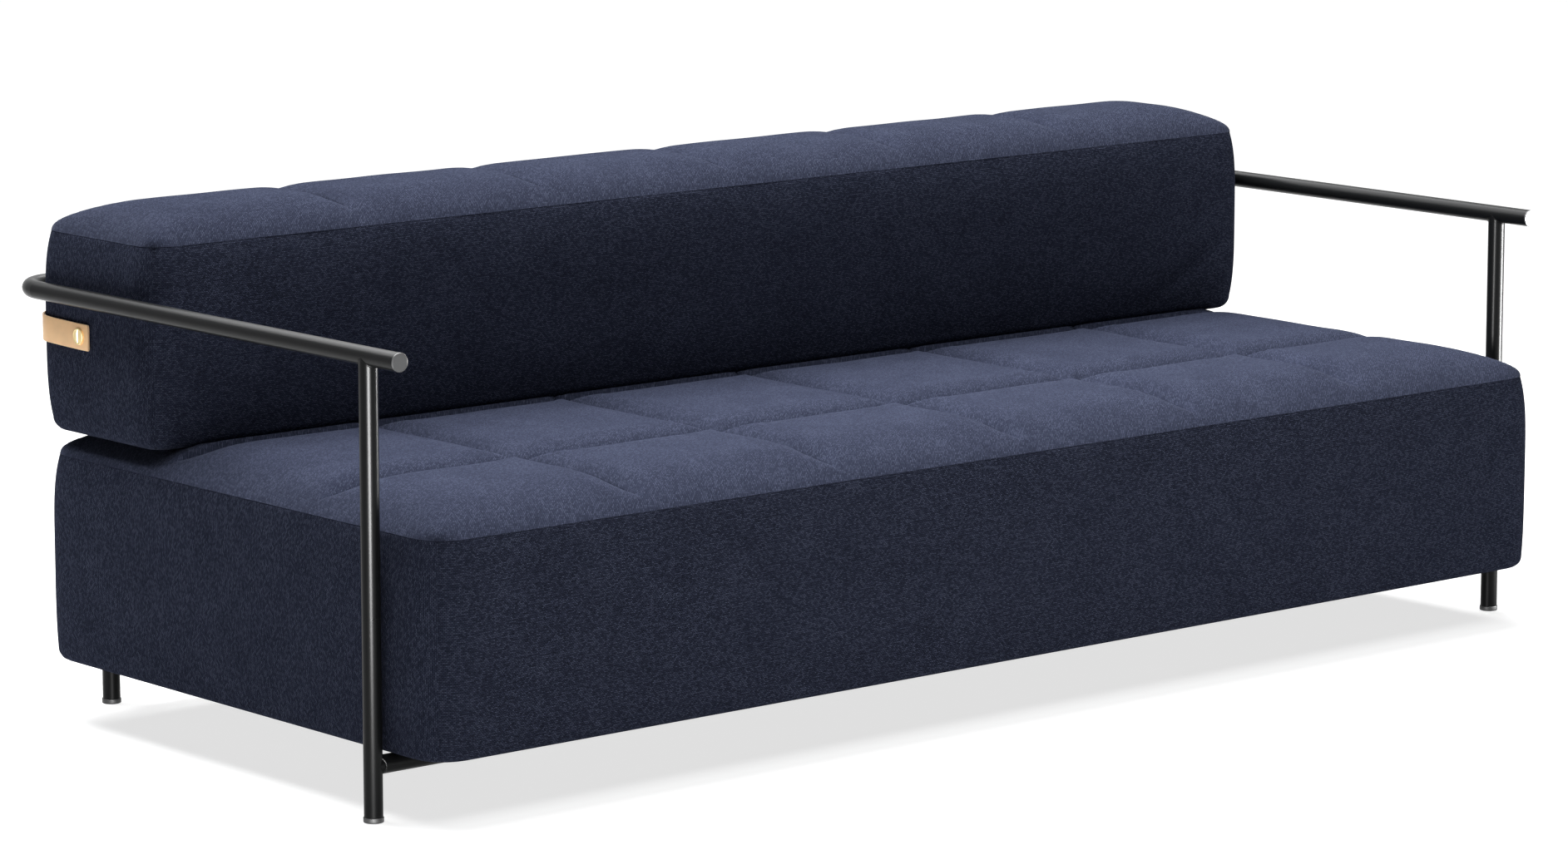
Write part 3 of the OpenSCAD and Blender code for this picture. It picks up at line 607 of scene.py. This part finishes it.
def turned_piece(name, profile, centre, axis):
    """Turned piece: a profile of (radius, height) points carried round an axis, closed at both ends.

    A point is centre + height * axis + radius * (cos a * side + sin a * other), for angles a right round.
    """
    axis = np.array(axis, float)
    side = np.cross(axis, (0.0, 0.0, 1.0) if abs(axis[2]) < 0.5 else (0.0, 1.0, 0.0))
    side /= np.linalg.norm(side)
    other = np.cross(axis, side)
    angle = np.linspace(0, 2 * np.pi, 64, endpoint=False)[None, :, None]
    radius, height = (np.array(profile) * MM).T[:, :, None, None]
    ring = np.cos(angle) * side + np.sin(angle) * other
    return skin(name, np.array(centre) + height * axis + radius * ring, wrap_v=True, sharp=35)


def arc(cx, cy, radius, start, end, count):
    """Points on an arc in plan, with its angles in degrees."""
    angle = np.radians(np.linspace(start, end, count))
    return np.stack([cx + radius * np.cos(angle), cy + radius * np.sin(angle)], -1)


def fillet_weld(name, centre, along_axis, across_axis, out_axis, radius, leg):
    """Weld bead round the joint of two equal tubes, as a round bead carried along their meeting line.

    The line is radius * (cos a, sin a) round the ending tube, set back by radius * |sin a| along it; the
    bead thins to nothing at the two sides, where the tubes' walls meet flush.
    """
    a = np.linspace(0, 2 * np.pi, 96, endpoint=False)
    along_axis, across_axis, out_axis = (np.array(v, float) for v in (along_axis, across_axis, out_axis))
    ring = np.cos(a)[:, None] * along_axis + np.sin(a)[:, None] * across_axis
    line = np.array(centre) + radius * ring + (radius * np.abs(np.sin(a)))[:, None] * out_axis
    size = leg * (0.12 + 0.88 * np.abs(np.sin(a))) * (1 + 0.05 * np.sin(23 * a))
    b = np.linspace(0, 2 * np.pi, 10, endpoint=False)
    bead = np.cos(b)[None, :, None] * ring[:, None, :] + np.sin(b)[None, :, None] * out_axis
    return skin(name, line[:, None, :] + size[:, None, None] * bead, wrap_u=True, wrap_v=True)


def strap_line(side):
    """Plan line down the middle of a left strap's thickness, from its riveted end to its free end.

    It runs to the rear post, once round it, back to the block's corner, round that, and forward.
    """
    low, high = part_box(f"strap_flap_{side}")
    post_low, post_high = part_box(f"rear_post_{side}")
    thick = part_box(f"strap_loop_{side}")[1][1] - post_high[1] - STRAP_GAP
    post_x = -abs(post_low[0] + post_high[0]) / 2
    post_y = (post_low[1] + post_high[1]) / 2
    loop = (post_high[1] - post_low[1]) / 2 + STRAP_GAP + thick / 2
    outer_x = -max(abs(low[0]), abs(high[0])) + thick / 2
    turn = STRAP_TURN + thick / 2
    corner_x, corner_y = outer_x + turn, post_y - loop - turn
    tail, bend = 44 * MM, 8 * MM
    tail_y = loop - thick - STRAP_GAP / 2
    parts = [
        np.array([[post_x - tail, post_y - tail_y]]),
        arc(post_x - loop - bend, post_y - tail_y + bend, bend, -90, 0, 8),
        arc(post_x, post_y, loop, 180, -90, 40),
        arc(corner_x, corner_y, turn, 90, 180, 24),
        np.array([[outer_x, low[1]]]),
    ]
    return np.concatenate(parts), thick, (low[2], high[2])


def strap_piece(name, side, sign, props):
    """Leather strap: a rounded strip section carried along its plan line, its free corners eased.

    The free end hangs lower: droop * the smooth step over the last 190 mm.
    """
    line, thick, (bottom, top) = strap_line(side)
    run = running(line)
    near_end = run[-1] - np.array([2, 1, 0.5, 0.2]) * MM
    want = np.unique(np.concatenate([run, np.arange(0, run[-1], 3 * MM), near_end]))
    line = respaced(line, want)
    way = np.gradient(line, want, axis=0)
    way /= np.linalg.norm(way, axis=1, keepdims=True)
    out = np.stack([way[:, 1], -way[:, 0]], -1)
    half, edge = (top - bottom) / 2, props.edge
    ease = 2 * MM
    left = np.minimum(want[-1] - want, ease)
    width = half - ease + np.sqrt(ease**2 - (ease - left) ** 2)
    turn = np.radians([0, 30, 60, 90])
    rounding = np.stack([thick / 2 - edge + edge * np.cos(turn), -edge + edge * np.sin(turn)], -1)
    n = np.concatenate([rounding[:, 0], -rounding[::-1, 0], -rounding[:, 0], rounding[::-1, 0]])
    z_sign = np.repeat([1.0, 1.0, -1.0, -1.0], 4)
    z_in = np.tile(np.concatenate([rounding[:, 1], rounding[::-1, 1]]), 2)
    z = z_sign[None, :] * (width[:, None] + z_in[None, :])
    z = z + (top + bottom) / 2 - props.droop * smooth(want, want[-1] - 190 * MM, want[-1])[:, None]
    xy = line[:, None, :] + out[:, None, :] * n[None, :, None]
    grid = np.concatenate([xy, z[..., None]], -1)
    grid[..., 0] *= -sign
    cut = np.tile([0.0, 0.0, 1.0, 1.0, 1.0, 1.0, 0.0, 0.0], 2)
    return skin(name, grid, wrap_v=True, v=np.append(cut, cut[0]))


def stud_piece(name, node, sign, droop):
    """Brass stud: a shallow dome, 0.5 mm * (1 - (r/0.8)^2), in a rounded rim, with an upright slot.

    r is the share of the radius. The rim is 0.6 mm * exp(-((r - 0.89)/0.055)^2), eased off at the edge.
    """
    low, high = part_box(node)
    radius = (high[1] - low[1]) / 2
    x0, y0 = np.meshgrid(*[np.linspace(-radius, radius, 71)] * 2, indexing="ij")
    x, y = rounded_rectangle(x0, y0, radius, radius, radius)
    r = np.hypot(x, y) / radius
    dome = 0.5 * MM * np.clip(1 - (r / 0.8) ** 2, 0, 1)
    rim = 0.6 * MM * np.exp(-(((r - 0.89) / 0.055) ** 2)) - 0.5 * MM * smooth(r, 0.93, 1.0)
    slot = 1.1 * MM * smooth(1.15 * MM - np.abs(x), 0, 0.4 * MM) * (1 - smooth(r, 0.76, 0.82))
    face, head = 2.1 * MM, 3.1 * MM
    grid = np.stack([x, y, face + dome + rim - slot], -1)
    points, faces, _ = closed_panel(grid, ((0.0, 0.6 * MM), (0.5 * MM, 0.0)))
    outer = max(abs(low[0]), abs(high[0])) - head
    mesh = bpy.data.meshes.new(name)
    spots = np.stack([sign * (outer + points[:, 2]), points[:, 0], points[:, 1]], -1)
    middle = [0, (low[1] + high[1]) / 2, (low[2] + high[2]) / 2 - droop]
    mesh.from_pydata((spots + middle).tolist(), [], faces)
    return place(name, mesh, 40)


# ---------- materials ----------


def add(tree, kind, inputs=None, stops=None, **settings):
    """Adds a shader node with its settings; an input gets a value or another node's socket to link."""
    made = tree.nodes.new("ShaderNode" + kind)
    for key, value in settings.items():
        setattr(made, key, value)
    for key, value in (inputs or {}).items():
        if isinstance(value, bpy.types.NodeSocket):
            tree.links.new(value, made.inputs[key])
        else:
            made.inputs[key].default_value = value
    for spot, (at, shade) in enumerate(stops or ()):
        ramp = made.color_ramp.elements
        stop = ramp[spot] if spot < len(ramp) else ramp.new(at)
        stop.position, stop.color = at, shade
    return made


def blank(name):
    """A new material and its empty node tree."""
    material = bpy.data.materials.new(name)
    material.use_nodes = True
    material.node_tree.nodes.clear()
    return material, material.node_tree


def woven_melange(name, props, painted_light=1.0, gap_shade_depth=0.85, fuzz=0.05, vary=1.4):
    """Wool and polyamide upholstery cloth, woven from a twisted two-tone yarn.

    The rib weave gives even rows of short raised stitches, and the gaps between them are painted darker,
    towards half the black-blue ply, as painted shade; the twist gives each stitch a slightly different shade
    between black-blue and ink blue, and pale hairs catch the light. The rows are drawn at the pitch that
    shows from across a room, about twice that of the finest yarn. The first share after props paints a copy
    of the cloth lighter or darker, as painted light or shade for how the light falls on it; the next is how
    dark the painted shade in the gaps is, fuzz how much nap shows at a low angle and vary how far the
    yarn's shades differ.
    """
    material, tree = blank(name)
    uv = add(tree, "UVMap", uv_map="weave").outputs[0]
    wander = add(tree, "TexNoise", {"Vector": uv, "Scale": 90.0, "Detail": 2.0}).outputs["Color"]
    centred = add(tree, "VectorMath", {0: wander, 1: (0.5, 0.5, 0.5)}, operation="SUBTRACT").outputs[0]
    shift = add(tree, "VectorMath", {0: centred, "Scale": 0.7 * MM}, operation="SCALE").outputs[0]
    threads = add(tree, "VectorMath", {0: uv, 1: shift}, operation="ADD").outputs[0]
    rows = {
        "Vector": threads,
        "Color1": (0.0, 0.0, 0.0, 1.0),
        "Color2": (1.0, 1.0, 1.0, 1.0),
        "Mortar": (0.5, 0.5, 0.5, 1.0),
        "Scale": 1.0,
        "Mortar Size": props.weave_row * 0.24,
        "Mortar Smooth": 1.0,
        "Bias": 0.0,
        "Brick Width": props.weave_stitch,
        "Row Height": props.weave_row,
    }
    stitches = add(tree, "TexBrick", rows, offset=0.5, offset_frequency=2).outputs
    fibres = {"Vector": uv, "Scale": 1 / (1.2 * MM), "Detail": 1.0, "Roughness": 0.6}
    hair = add(tree, "TexNoise", fibres).outputs["Fac"]
    cloud = add(tree, "TexNoise", {"Vector": uv, "Scale": 14.0, "Detail": 3.0}).outputs["Fac"]
    parts = ((stitches["Color"], 0.2 * vary), (hair, 0.24 * vary), (cloud, 0.12))
    tint = 0.5 - sum(share for _, share in parts) / 2
    for part, share in parts:
        tint = add(tree, "Math", {0: part, 1: share, 2: tint}, operation="MULTIPLY_ADD").outputs[0]
    plies = ((0.15, props.yarn_dark), (0.5, props.yarn_blue), (0.9, props.yarn_pale))
    # Painted light or shade: the share makes this copy's yarn lighter or darker for how light falls on it.
    stops = [(at, opaque(ply, painted_light)) for at, ply in plies]
    yarn = add(tree, "ValToRGB", {"Fac": tint}, stops).outputs["Color"]
    gap = stitches["Fac"]
    # Painted shade in the gaps between the stitch rows: they darken towards half the black-blue ply.
    gap_shade_mix = add(tree, "Math", {0: gap, 1: gap_shade_depth}, operation="MULTIPLY").outputs[0]
    gap_shadow = opaque(props.yarn_dark, 0.5)
    shaded = add(tree, "Mix", {0: gap_shade_mix, 6: yarn, 7: gap_shadow}, data_type="RGBA").outputs[2]
    raised = add(tree, "Math", {0: 1.0, 1: gap}, operation="SUBTRACT").outputs[0]
    relief = add(tree, "Math", {0: hair, 1: 0.3, 2: raised}, operation="MULTIPLY_ADD").outputs[0]
    bump = add(tree, "Bump", {"Height": relief, "Strength": 0.5, "Distance": 0.4 * MM}).outputs[0]
    finish = {
        "Base Color": shaded,
        "Roughness": 0.95,
        "Specular IOR Level": 0.0,
        "Sheen Weight": fuzz,
        "Sheen Roughness": 0.3,
        "Sheen Tint": opaque(linear("#b4bcd2")),
        "Normal": bump,
    }
    cloth = add(tree, "BsdfPrincipled", finish)
    add(tree, "OutputMaterial", {0: cloth.outputs[0]})
    return material


def coated(name, shade, roughness, grain_mm, depth_mm, metallic=0.0, uneven=0.12, gloss_level=0.5):
    """Sprayed or moulded hard surface: one colour, a fine orange peel, and gloss that varies a little."""
    material, tree = blank(name)
    where = add(tree, "TexCoord").outputs["Object"]
    grain = {"Vector": where, "Scale": 1 / (grain_mm * MM), "Detail": 2.0}
    peel = add(tree, "TexNoise", grain).outputs["Fac"]
    patch = add(tree, "TexNoise", {"Vector": where, "Scale": 9.0, "Detail": 4.0}).outputs["Fac"]
    low, high = roughness - uneven / 2, roughness + uneven / 2
    gloss = add(tree, "MapRange", {"Value": patch, "To Min": low, "To Max": high}).outputs[0]
    shades = {0: peel, 6: opaque(shade, 0.88), 7: opaque(shade, 1.12)}
    tone = add(tree, "Mix", shades, data_type="RGBA").outputs[2]
    bump = add(tree, "Bump", {"Height": peel, "Strength": 0.5, "Distance": depth_mm * MM}).outputs[0]
    finish = {
        "Base Color": tone,
        "Roughness": gloss,
        "Metallic": metallic,
        "Specular IOR Level": gloss_level,
        "Normal": bump,
    }
    surface = add(tree, "BsdfPrincipled", finish)
    add(tree, "OutputMaterial", {0: surface.outputs[0]})
    return material


def tanned_leather(name, props):
    """Vegetable-tanned cowhide, 2.5 mm, aniline finish: fine pores, faint clouding, paler cut edges."""
    material, tree = blank(name)
    where = add(tree, "TexCoord").outputs["Object"]
    spread = add(tree, "UVMap", uv_map="weave").outputs[0]
    across = add(tree, "SeparateXYZ", {0: spread}).outputs[1]
    pores = add(tree, "TexVoronoi", {"Vector": where, "Scale": 1 / (0.9 * MM)}).outputs["Distance"]
    cloud = add(tree, "TexNoise", {"Vector": where, "Scale": 45.0, "Detail": 4.0}).outputs["Fac"]
    shades = {0: cloud, 6: opaque(props.tan, 0.86), 7: opaque(props.tan, 1.12)}
    face = add(tree, "Mix", shades, data_type="RGBA").outputs[2]
    edge = add(tree, "MapRange", {"Value": across, "From Min": 0.45, "From Max": 0.55}).outputs[0]
    tone = add(tree, "Mix", {0: edge, 6: face, 7: opaque(props.cut)}, data_type="RGBA").outputs[2]
    bump = add(tree, "Bump", {"Height": pores, "Strength": 0.25, "Distance": 0.15 * MM}).outputs[0]
    finish = {
        "Base Color": tone,
        "Roughness": 0.5,
        "Specular IOR Level": 0.4,
        "Sheen Weight": 0.1,
        "Normal": bump,
    }
    hide = add(tree, "BsdfPrincipled", finish)
    add(tree, "OutputMaterial", {0: hide.outputs[0]})
    return material


def sawn_timber(name):
    """Planed spruce: growth rings drawn out along the piece, matt and open-pored."""
    material, tree = blank(name)
    where = add(tree, "TexCoord").outputs["Object"]
    stretched = add(tree, "Mapping", {"Vector": where, "Scale": (6.0, 90.0, 90.0)}).outputs[0]
    rings = {"Vector": stretched, "Scale": 1.5, "Detail": 5.0, "Distortion": 0.6}
    grain = add(tree, "TexNoise", rings).outputs["Fac"]
    stops = ((0.3, opaque(linear("#9a7448"))), (0.7, opaque(linear("#d9b885"))))
    tone = add(tree, "ValToRGB", {"Fac": grain}, stops).outputs[0]
    wood = add(tree, "BsdfPrincipled", {"Base Color": tone, "Roughness": 0.7})
    add(tree, "OutputMaterial", {0: wood.outputs[0]})
    return material


def open_foam(name):
    """Cut polyurethane foam, cream, with cells about 1 mm wide."""
    material, tree = blank(name)
    where = add(tree, "TexCoord").outputs["Object"]
    cells = add(tree, "TexVoronoi", {"Vector": where, "Scale": 1 / (1.2 * MM)}).outputs["Distance"]
    stops = ((0.0, opaque(linear("#e9dcb4"))), (0.8, opaque(linear("#c9b988"))))
    tone = add(tree, "ValToRGB", {"Fac": cells}, stops).outputs[0]
    foam = add(tree, "BsdfPrincipled", {"Base Color": tone, "Roughness": 0.95})
    add(tree, "OutputMaterial", {0: foam.outputs[0]})
    return material


def spunbond(name):
    """Black non-woven polypropylene: matt, with a grid of tiny bonding dots 2 mm apart."""
    material, tree = blank(name)
    where = add(tree, "TexCoord").outputs["Object"]
    bonds = {"Vector": where, "Scale": 1 / (2 * MM), "Randomness": 0.15}
    dots = add(tree, "TexVoronoi", bonds).outputs["Distance"]
    stops = ((0.15, opaque(linear("#101012"))), (0.45, opaque(linear("#232327"))))
    tone = add(tree, "ValToRGB", {"Fac": dots}, stops).outputs[0]
    bump = add(tree, "Bump", {"Height": dots, "Strength": 0.4, "Distance": 0.2 * MM}).outputs[0]
    cloth = add(tree, "BsdfPrincipled", {"Base Color": tone, "Roughness": 0.85, "Normal": bump})
    add(tree, "OutputMaterial", {0: cloth.outputs[0]})
    return material


def backdrop_rays(tree):
    """A socket that is 1 for rays from the camera or off a glossy face, and 0 for those that light."""
    rays = add(tree, "LightPath").outputs
    both = {0: rays["Is Camera Ray"], 1: rays["Is Glossy Ray"]}
    return add(tree, "Math", both, operation="MAXIMUM").outputs[0]


def seamless_paper(name):
    """Matt white paper floor: dark enough to the lamps for a soft shadow, and it glows to white far off."""
    material, tree = blank(name)
    paper = add(tree, "BsdfDiffuse", {"Color": opaque((0.8, 0.8, 0.8))})
    pale = add(tree, "BsdfDiffuse", {"Color": opaque((0.5, 0.5, 0.5))})
    where = add(tree, "TexCoord").outputs["Object"]
    far = add(tree, "VectorMath", {0: where}, operation="LENGTH").outputs["Value"]
    fade = {"Value": far, "From Min": 2.0, "From Max": 6.0, "To Min": 0.73, "To Max": 1.0}
    lift = add(tree, "MapRange", fade).outputs[0]
    glow = add(tree, "Emission", {"Color": opaque((1, 1, 1)), "Strength": lift})
    shown = add(tree, "AddShader", {0: pale.outputs[0], 1: glow.outputs[0]})
    both = add(tree, "MixShader", {0: backdrop_rays(tree), 1: paper.outputs[0], 2: shown.outputs[0]})
    add(tree, "OutputMaterial", {0: both.outputs[0]})
    return material


def finish_nodes(material, *nodes):
    """Gives CAD nodes a material on their own slots."""
    for node in nodes:
        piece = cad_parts[node]
        if not piece.material_slots:
            piece.data.materials.append(material)
        for slot in piece.material_slots:
            slot.material = material


# ---------- operators ----------


class SOFA_OT_seat_cover(bpy.types.Operator):
    """Sews the seat block's quilted top, side bands, seam cord and underside"""

    bl_idname = "sofa.seat_cover"
    bl_label = "Seat Cover"

    def execute(self, context):
        props = context.scene.sofa_covers
        b = block("seat", props)
        rows = [-b.hy + props.front_row, b.hy - props.rear_row]
        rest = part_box("back_band_front")[0][2] - 0.6 * MM - b.seam

        def ceiling(x, y):
            """Under the back block the top is pressed flat, and beads up 7 mm just in front of it."""
            bead = 7 * MM * (1 - smooth(y, rows[1] + 3 * MM, rows[1] + 20 * MM))
            return np.where(y >= rows[1], rest + bead, 1.0)

        def height(x, y):
            """The pillowed top, pressed down under the ceiling."""
            across = [(line, props.hollow, props.hollow) for line in quilting_lines(props)]
            along_rows = [
                (rows[0], props.hollow, props.hollow),
                (rows[1], 1.6 * props.hollow, props.rear_hollow),
            ]
            shape = (props.seat_crown_run, props.seat_crease, props.stitch_groove, across, along_rows)
            z = pillow_top(x, y, b, *shape, 3, pressed=rows[1] + 2 * MM)
            return np.minimum(z, ceiling(x, y))

        cloths = (
            woven_melange("woven_melange", props),
            # The seat top's copy is painted lighter, for the light from above that falls on it.
            woven_melange("woven_melange_seat_top_painted_lit", props, 1.17, 0.5, 0.2, 1.0),
            # The cord's copy is painted lighter, against the shade in the seam's groove.
            woven_melange("seam_cord_cloth_painted_lit", props, 1.15),
            spunbond("spunbond_cloth"),
        )
        sew_block(b, props, height, rows, 9 * MM, cloths, (11, 31), ceiling=ceiling)
        return {"FINISHED"}


class SOFA_OT_back_cover(bpy.types.Operator):
    """Sews the back block's quilted top, side bands, seam cord and underside"""

    bl_idname = "sofa.back_cover"
    bl_label = "Back Cover"

    def execute(self, context):
        props = context.scene.sofa_covers
        b = block("back", props)

        def height(x, y):
            """The pillowed top, with the same lines across it as the seat."""
            across = [(line, props.hollow, props.hollow) for line in quilting_lines(props)]
            shape = (props.back_crown_run, props.back_crease, props.stitch_groove, across, [])
            return pillow_top(x, y, b, *shape, 5)

        def fold(run, z):
            """Soft slanting drag line at the front band's right end, 5 mm deep and 20 mm wide."""
            away = (run[-1] - run) - 20 * MM - 1.6 * (b.bottom + 130 * MM - z)
            fade = np.exp(-(((z - b.bottom - 90 * MM) / (50 * MM)) ** 2))
            return -5 * MM * np.exp(-((away / (20 * MM)) ** 2)) * fade

        made = bpy.data.materials
        cloths = (
            made["woven_melange"],
            # The back top's copy is painted darker, for the shade on it.
            woven_melange("woven_melange_back_top_painted_shade", props, 0.87, 0.5, 0.2, 1.0),
            made["seam_cord_cloth_painted_lit"],
            made["spunbond_cloth"],
        )
        sew_block(b, props, height, [], 8 * MM, cloths, (21, 32), fold=fold)
        return {"FINISHED"}


class SOFA_OT_metal(bpy.types.Operator):
    """Finishes the frame's tubes, welds, caps, glides and fittings"""

    bl_idname = "sofa.metal"
    bl_label = "Metal Frame"

    def execute(self, context):
        props = context.scene.sofa_metal
        coat = coated("powder_coat", props.coat, 0.3, 0.9, 0.01, uneven=0.06, gloss_level=0.07)
        finish_nodes(coat, *(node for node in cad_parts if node.startswith(TUBES)))
        zinc = coated("zinc_plate", linear("#b9bcc0"), 0.35, 0.6, 0.01, metallic=1.0)
        finish_nodes(zinc, "leg_joiners", "runner_screws")
        cap_steel = coated("end_cap_steel", props.cap, 0.4, 0.8, 0.01)
        plastic = coated("moulded_polyamide", props.plastic, 0.5, 0.5, 0.02)
        finish_nodes(plastic, "bar_plugs", "seat_runner_left", "seat_runner_right")
        finish_nodes(sawn_timber("sawn_spruce"), "seat_slats", "seat_bearers", "back_board")
        finish_nodes(open_foam("cut_foam"), "seat_core", "back_core")
        tube_low, tube_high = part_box("arm_tube")
        radius = (tube_high[2] - tube_low[2]) / 2
        arm_z = tube_high[2] - radius
        rail_low, rail_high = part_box("cross_rail")
        rail_z = (rail_low[2] + rail_high[2]) / 2
        for side, sign in SIDES:
            low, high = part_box(f"arm_cap_{side}")
            middle = (sign * abs(low[0] + high[0]) / 2, low[1] + 2 * MM, arm_z)
            cap = turned_piece(f"arm_end_cap_{side}", CAP_PROFILE, middle, (0, 1, 0))
            dress(cap, "frame", cap_steel, "cap_steel", f"arm_cap_{side}")
            for end in ("front", "rear"):
                low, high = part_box(f"{end}_leg_{side}")
                x, y = (low[0] + high[0]) / 2, (low[1] + high[1]) / 2
                foot = turned_piece(f"foot_glide_{end}_{side}", GLIDE_PROFILE, (x, y, 0), (0, 0, 1))
                dress(foot, "frame", plastic, "black_plastic", f"glide_{end}_{side}")
                level = ((1, 0, 0), (0, 1, 0)) if end == "front" else ((0, 1, 0), (1, 0, 0))
                joints = (
                    ("arm", arm_z, *level, (0, 0, -1)),
                    ("leg", rail_z, (0, 0, 1), (0, 1, 0), (-sign, 0, 0)),
                )
                for joint, z, *ways in joints:
                    bead = fillet_weld(f"weld_{joint}_{end}_{side}", (x, y, z), *ways, radius, props.weld)
                    dress(bead, "frame", coat, "frame_steel")
        return {"FINISHED"}


class SOFA_OT_straps(bpy.types.Operator):
    """Makes the leather straps with their studs, rivets and sockets"""

    bl_idname = "sofa.straps"
    bl_label = "Leather Straps"

    def execute(self, context):
        props = context.scene.sofa_straps
        hide = tanned_leather("tanned_leather", props)
        shade = context.scene.sofa_metal.brass
        brass = coated("lacquered_brass", shade, 0.36, 0.6, 0.01, metallic=1.0)
        finish_nodes(brass, "loop_rivets", "stud_socket_left", "stud_socket_right")
        for side, sign in SIDES:
            strap = strap_piece(f"leather_strap_{side}", side, sign, props)
            strap.data.materials.append(hide)
            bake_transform(strap)
            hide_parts(f"strap_loop_{side}", f"strap_flap_{side}")
            stud = stud_piece(f"brass_stud_{side}", f"strap_stud_{side}", sign, 0.9 * props.droop)
            dress(stud, f"strap_{side}", brass, "stud_brass", f"strap_stud_{side}")
        return {"FINISHED"}


class SOFA_OT_stage(bpy.types.Operator):
    """Sets up the pale floor, the softboxes, the surroundings and the camera"""

    bl_idname = "sofa.stage"
    bl_label = "Stage"

    def execute(self, context):
        props = context.scene.sofa_stage
        scene = context.scene
        scene.view_settings.view_transform = "Standard"
        camera_data = bpy.data.cameras.new("camera")
        camera_data.lens, camera_data.sensor_width = 131.94, 36.0
        camera_data.clip_end = 200.0
        camera = bpy.data.objects.new("camera", camera_data)
        camera.location = (-5.3090, -6.15825, 1.7447)
        down, turn = 0.1694, -0.7066
        camera.rotation_euler = (math.pi / 2 - down, 0.0, turn)
        scene.collection.objects.link(camera)
        scene.camera = camera

        half = props.floor
        corners = [[[-half, -half, 0], [-half, half, 0]], [[half, -half, 0], [half, half, 0]]]
        floor = skin("floor", np.array(corners))
        floor.data.materials.append(seamless_paper("seamless_paper"))

        world = bpy.data.worlds.new("white_surroundings")
        scene.world = world
        world.use_nodes = True
        tree = world.node_tree
        tree.nodes.clear()
        soft = add(tree, "Background", {"Color": opaque((1, 1, 1)), "Strength": props.fill})
        white = add(tree, "Background", {"Color": opaque((1, 1, 1)), "Strength": 1.0})
        both = add(tree, "MixShader", {0: backdrop_rays(tree), 1: soft.outputs[0], 2: white.outputs[0]})
        add(tree, "OutputWorld", {0: both.outputs[0]})

        # name, place, what it faces, size across and along, power
        lamps = (
            ("overhead_softbox", (0.0, 0.5, 3.3), (0.0, 0.51, 0.4), (4.2, 2.2), props.key),
            ("rear_softbox", (0.0, 1.9, 2.8), (0.0, 0.0, 0.4), (4.2, 1.6), props.rear),
            ("front_softbox", (0.0, -1.8, 3.0), (0.0, -0.3, 0.4), (4.2, 1.6), props.front),
            ("left_card", (-1.82, -1.40, 0.36), (-1.05, -0.36, 0.36), (0.5, 0.7), props.card),
            ("right_card", (1.64, -0.91, 0.4), (1.05, -0.36, 0.4), (0.3, 0.6), 0.5 * props.card),
            ("floor_lamp", (-0.5, -2.7, 2.4), (-0.5, -2.69, 0.0), (4.5, 2.2), props.bounce),
        )
        for name, spot, aim, size, watts in lamps:
            light = bpy.data.lights.new(name, "AREA")
            light.shape, light.size, light.size_y, light.energy = "RECTANGLE", *size, watts
            light.spread = 1.6 if name == "floor_lamp" else math.pi
            lamp = bpy.data.objects.new(name, light)
            lamp.location = spot
            way = np.array(aim) - np.array(spot)
            yaw = math.atan2(way[1], way[0]) - math.pi / 2
            tilt = math.pi / 2 + math.atan2(way[2], math.hypot(way[0], way[1]))
            lamp.rotation_euler = (tilt, 0.0, yaw)
            lamp.visible_diffuse = not name.endswith("card")
            lamp.visible_camera = False
            scene.collection.objects.link(lamp)
        return {"FINISHED"}


class SOFA_PT_panel(bpy.types.Panel):
    """Lists the sofa bed's sizes, colours and making steps"""

    bl_idname = "SOFA_PT_panel"
    bl_label = "Sofa Bed"
    bl_space_type = "VIEW_3D"
    bl_region_type = "UI"
    bl_category = "Sofa Bed"

    def draw(self, context):
        for group in GROUPS:
            box = self.layout.box()
            for name in GROUPS[group].__annotations__:
                box.prop(getattr(context.scene, group), name)
        for operator in OPERATORS:
            self.layout.operator(operator.bl_idname)


GROUPS = {
    "sofa_covers": SofaCovers,
    "sofa_metal": SofaMetal,
    "sofa_straps": SofaStraps,
    "sofa_stage": SofaStage,
}
OPERATORS = (SOFA_OT_stage, SOFA_OT_seat_cover, SOFA_OT_back_cover, SOFA_OT_metal, SOFA_OT_straps)


def register():
    """Registers the classes and hangs each property group on the scene."""
    for kind in (*GROUPS.values(), *OPERATORS, SOFA_PT_panel):
        bpy.utils.register_class(kind)
    for name, kind in GROUPS.items():
        setattr(bpy.types.Scene, name, bpy.props.PointerProperty(type=kind))


def unregister():
    """Takes back what register did."""
    for name in GROUPS:
        delattr(bpy.types.Scene, name)
    for kind in reversed((*GROUPS.values(), *OPERATORS, SOFA_PT_panel)):
        bpy.utils.unregister_class(kind)


def main():
    """Builds the whole scene."""
    register()
    bpy.ops.sofa.stage()
    bpy.ops.sofa.seat_cover()
    bpy.ops.sofa.back_cover()
    bpy.ops.sofa.metal()
    bpy.ops.sofa.straps()


if __name__ == "__main__":
    main()
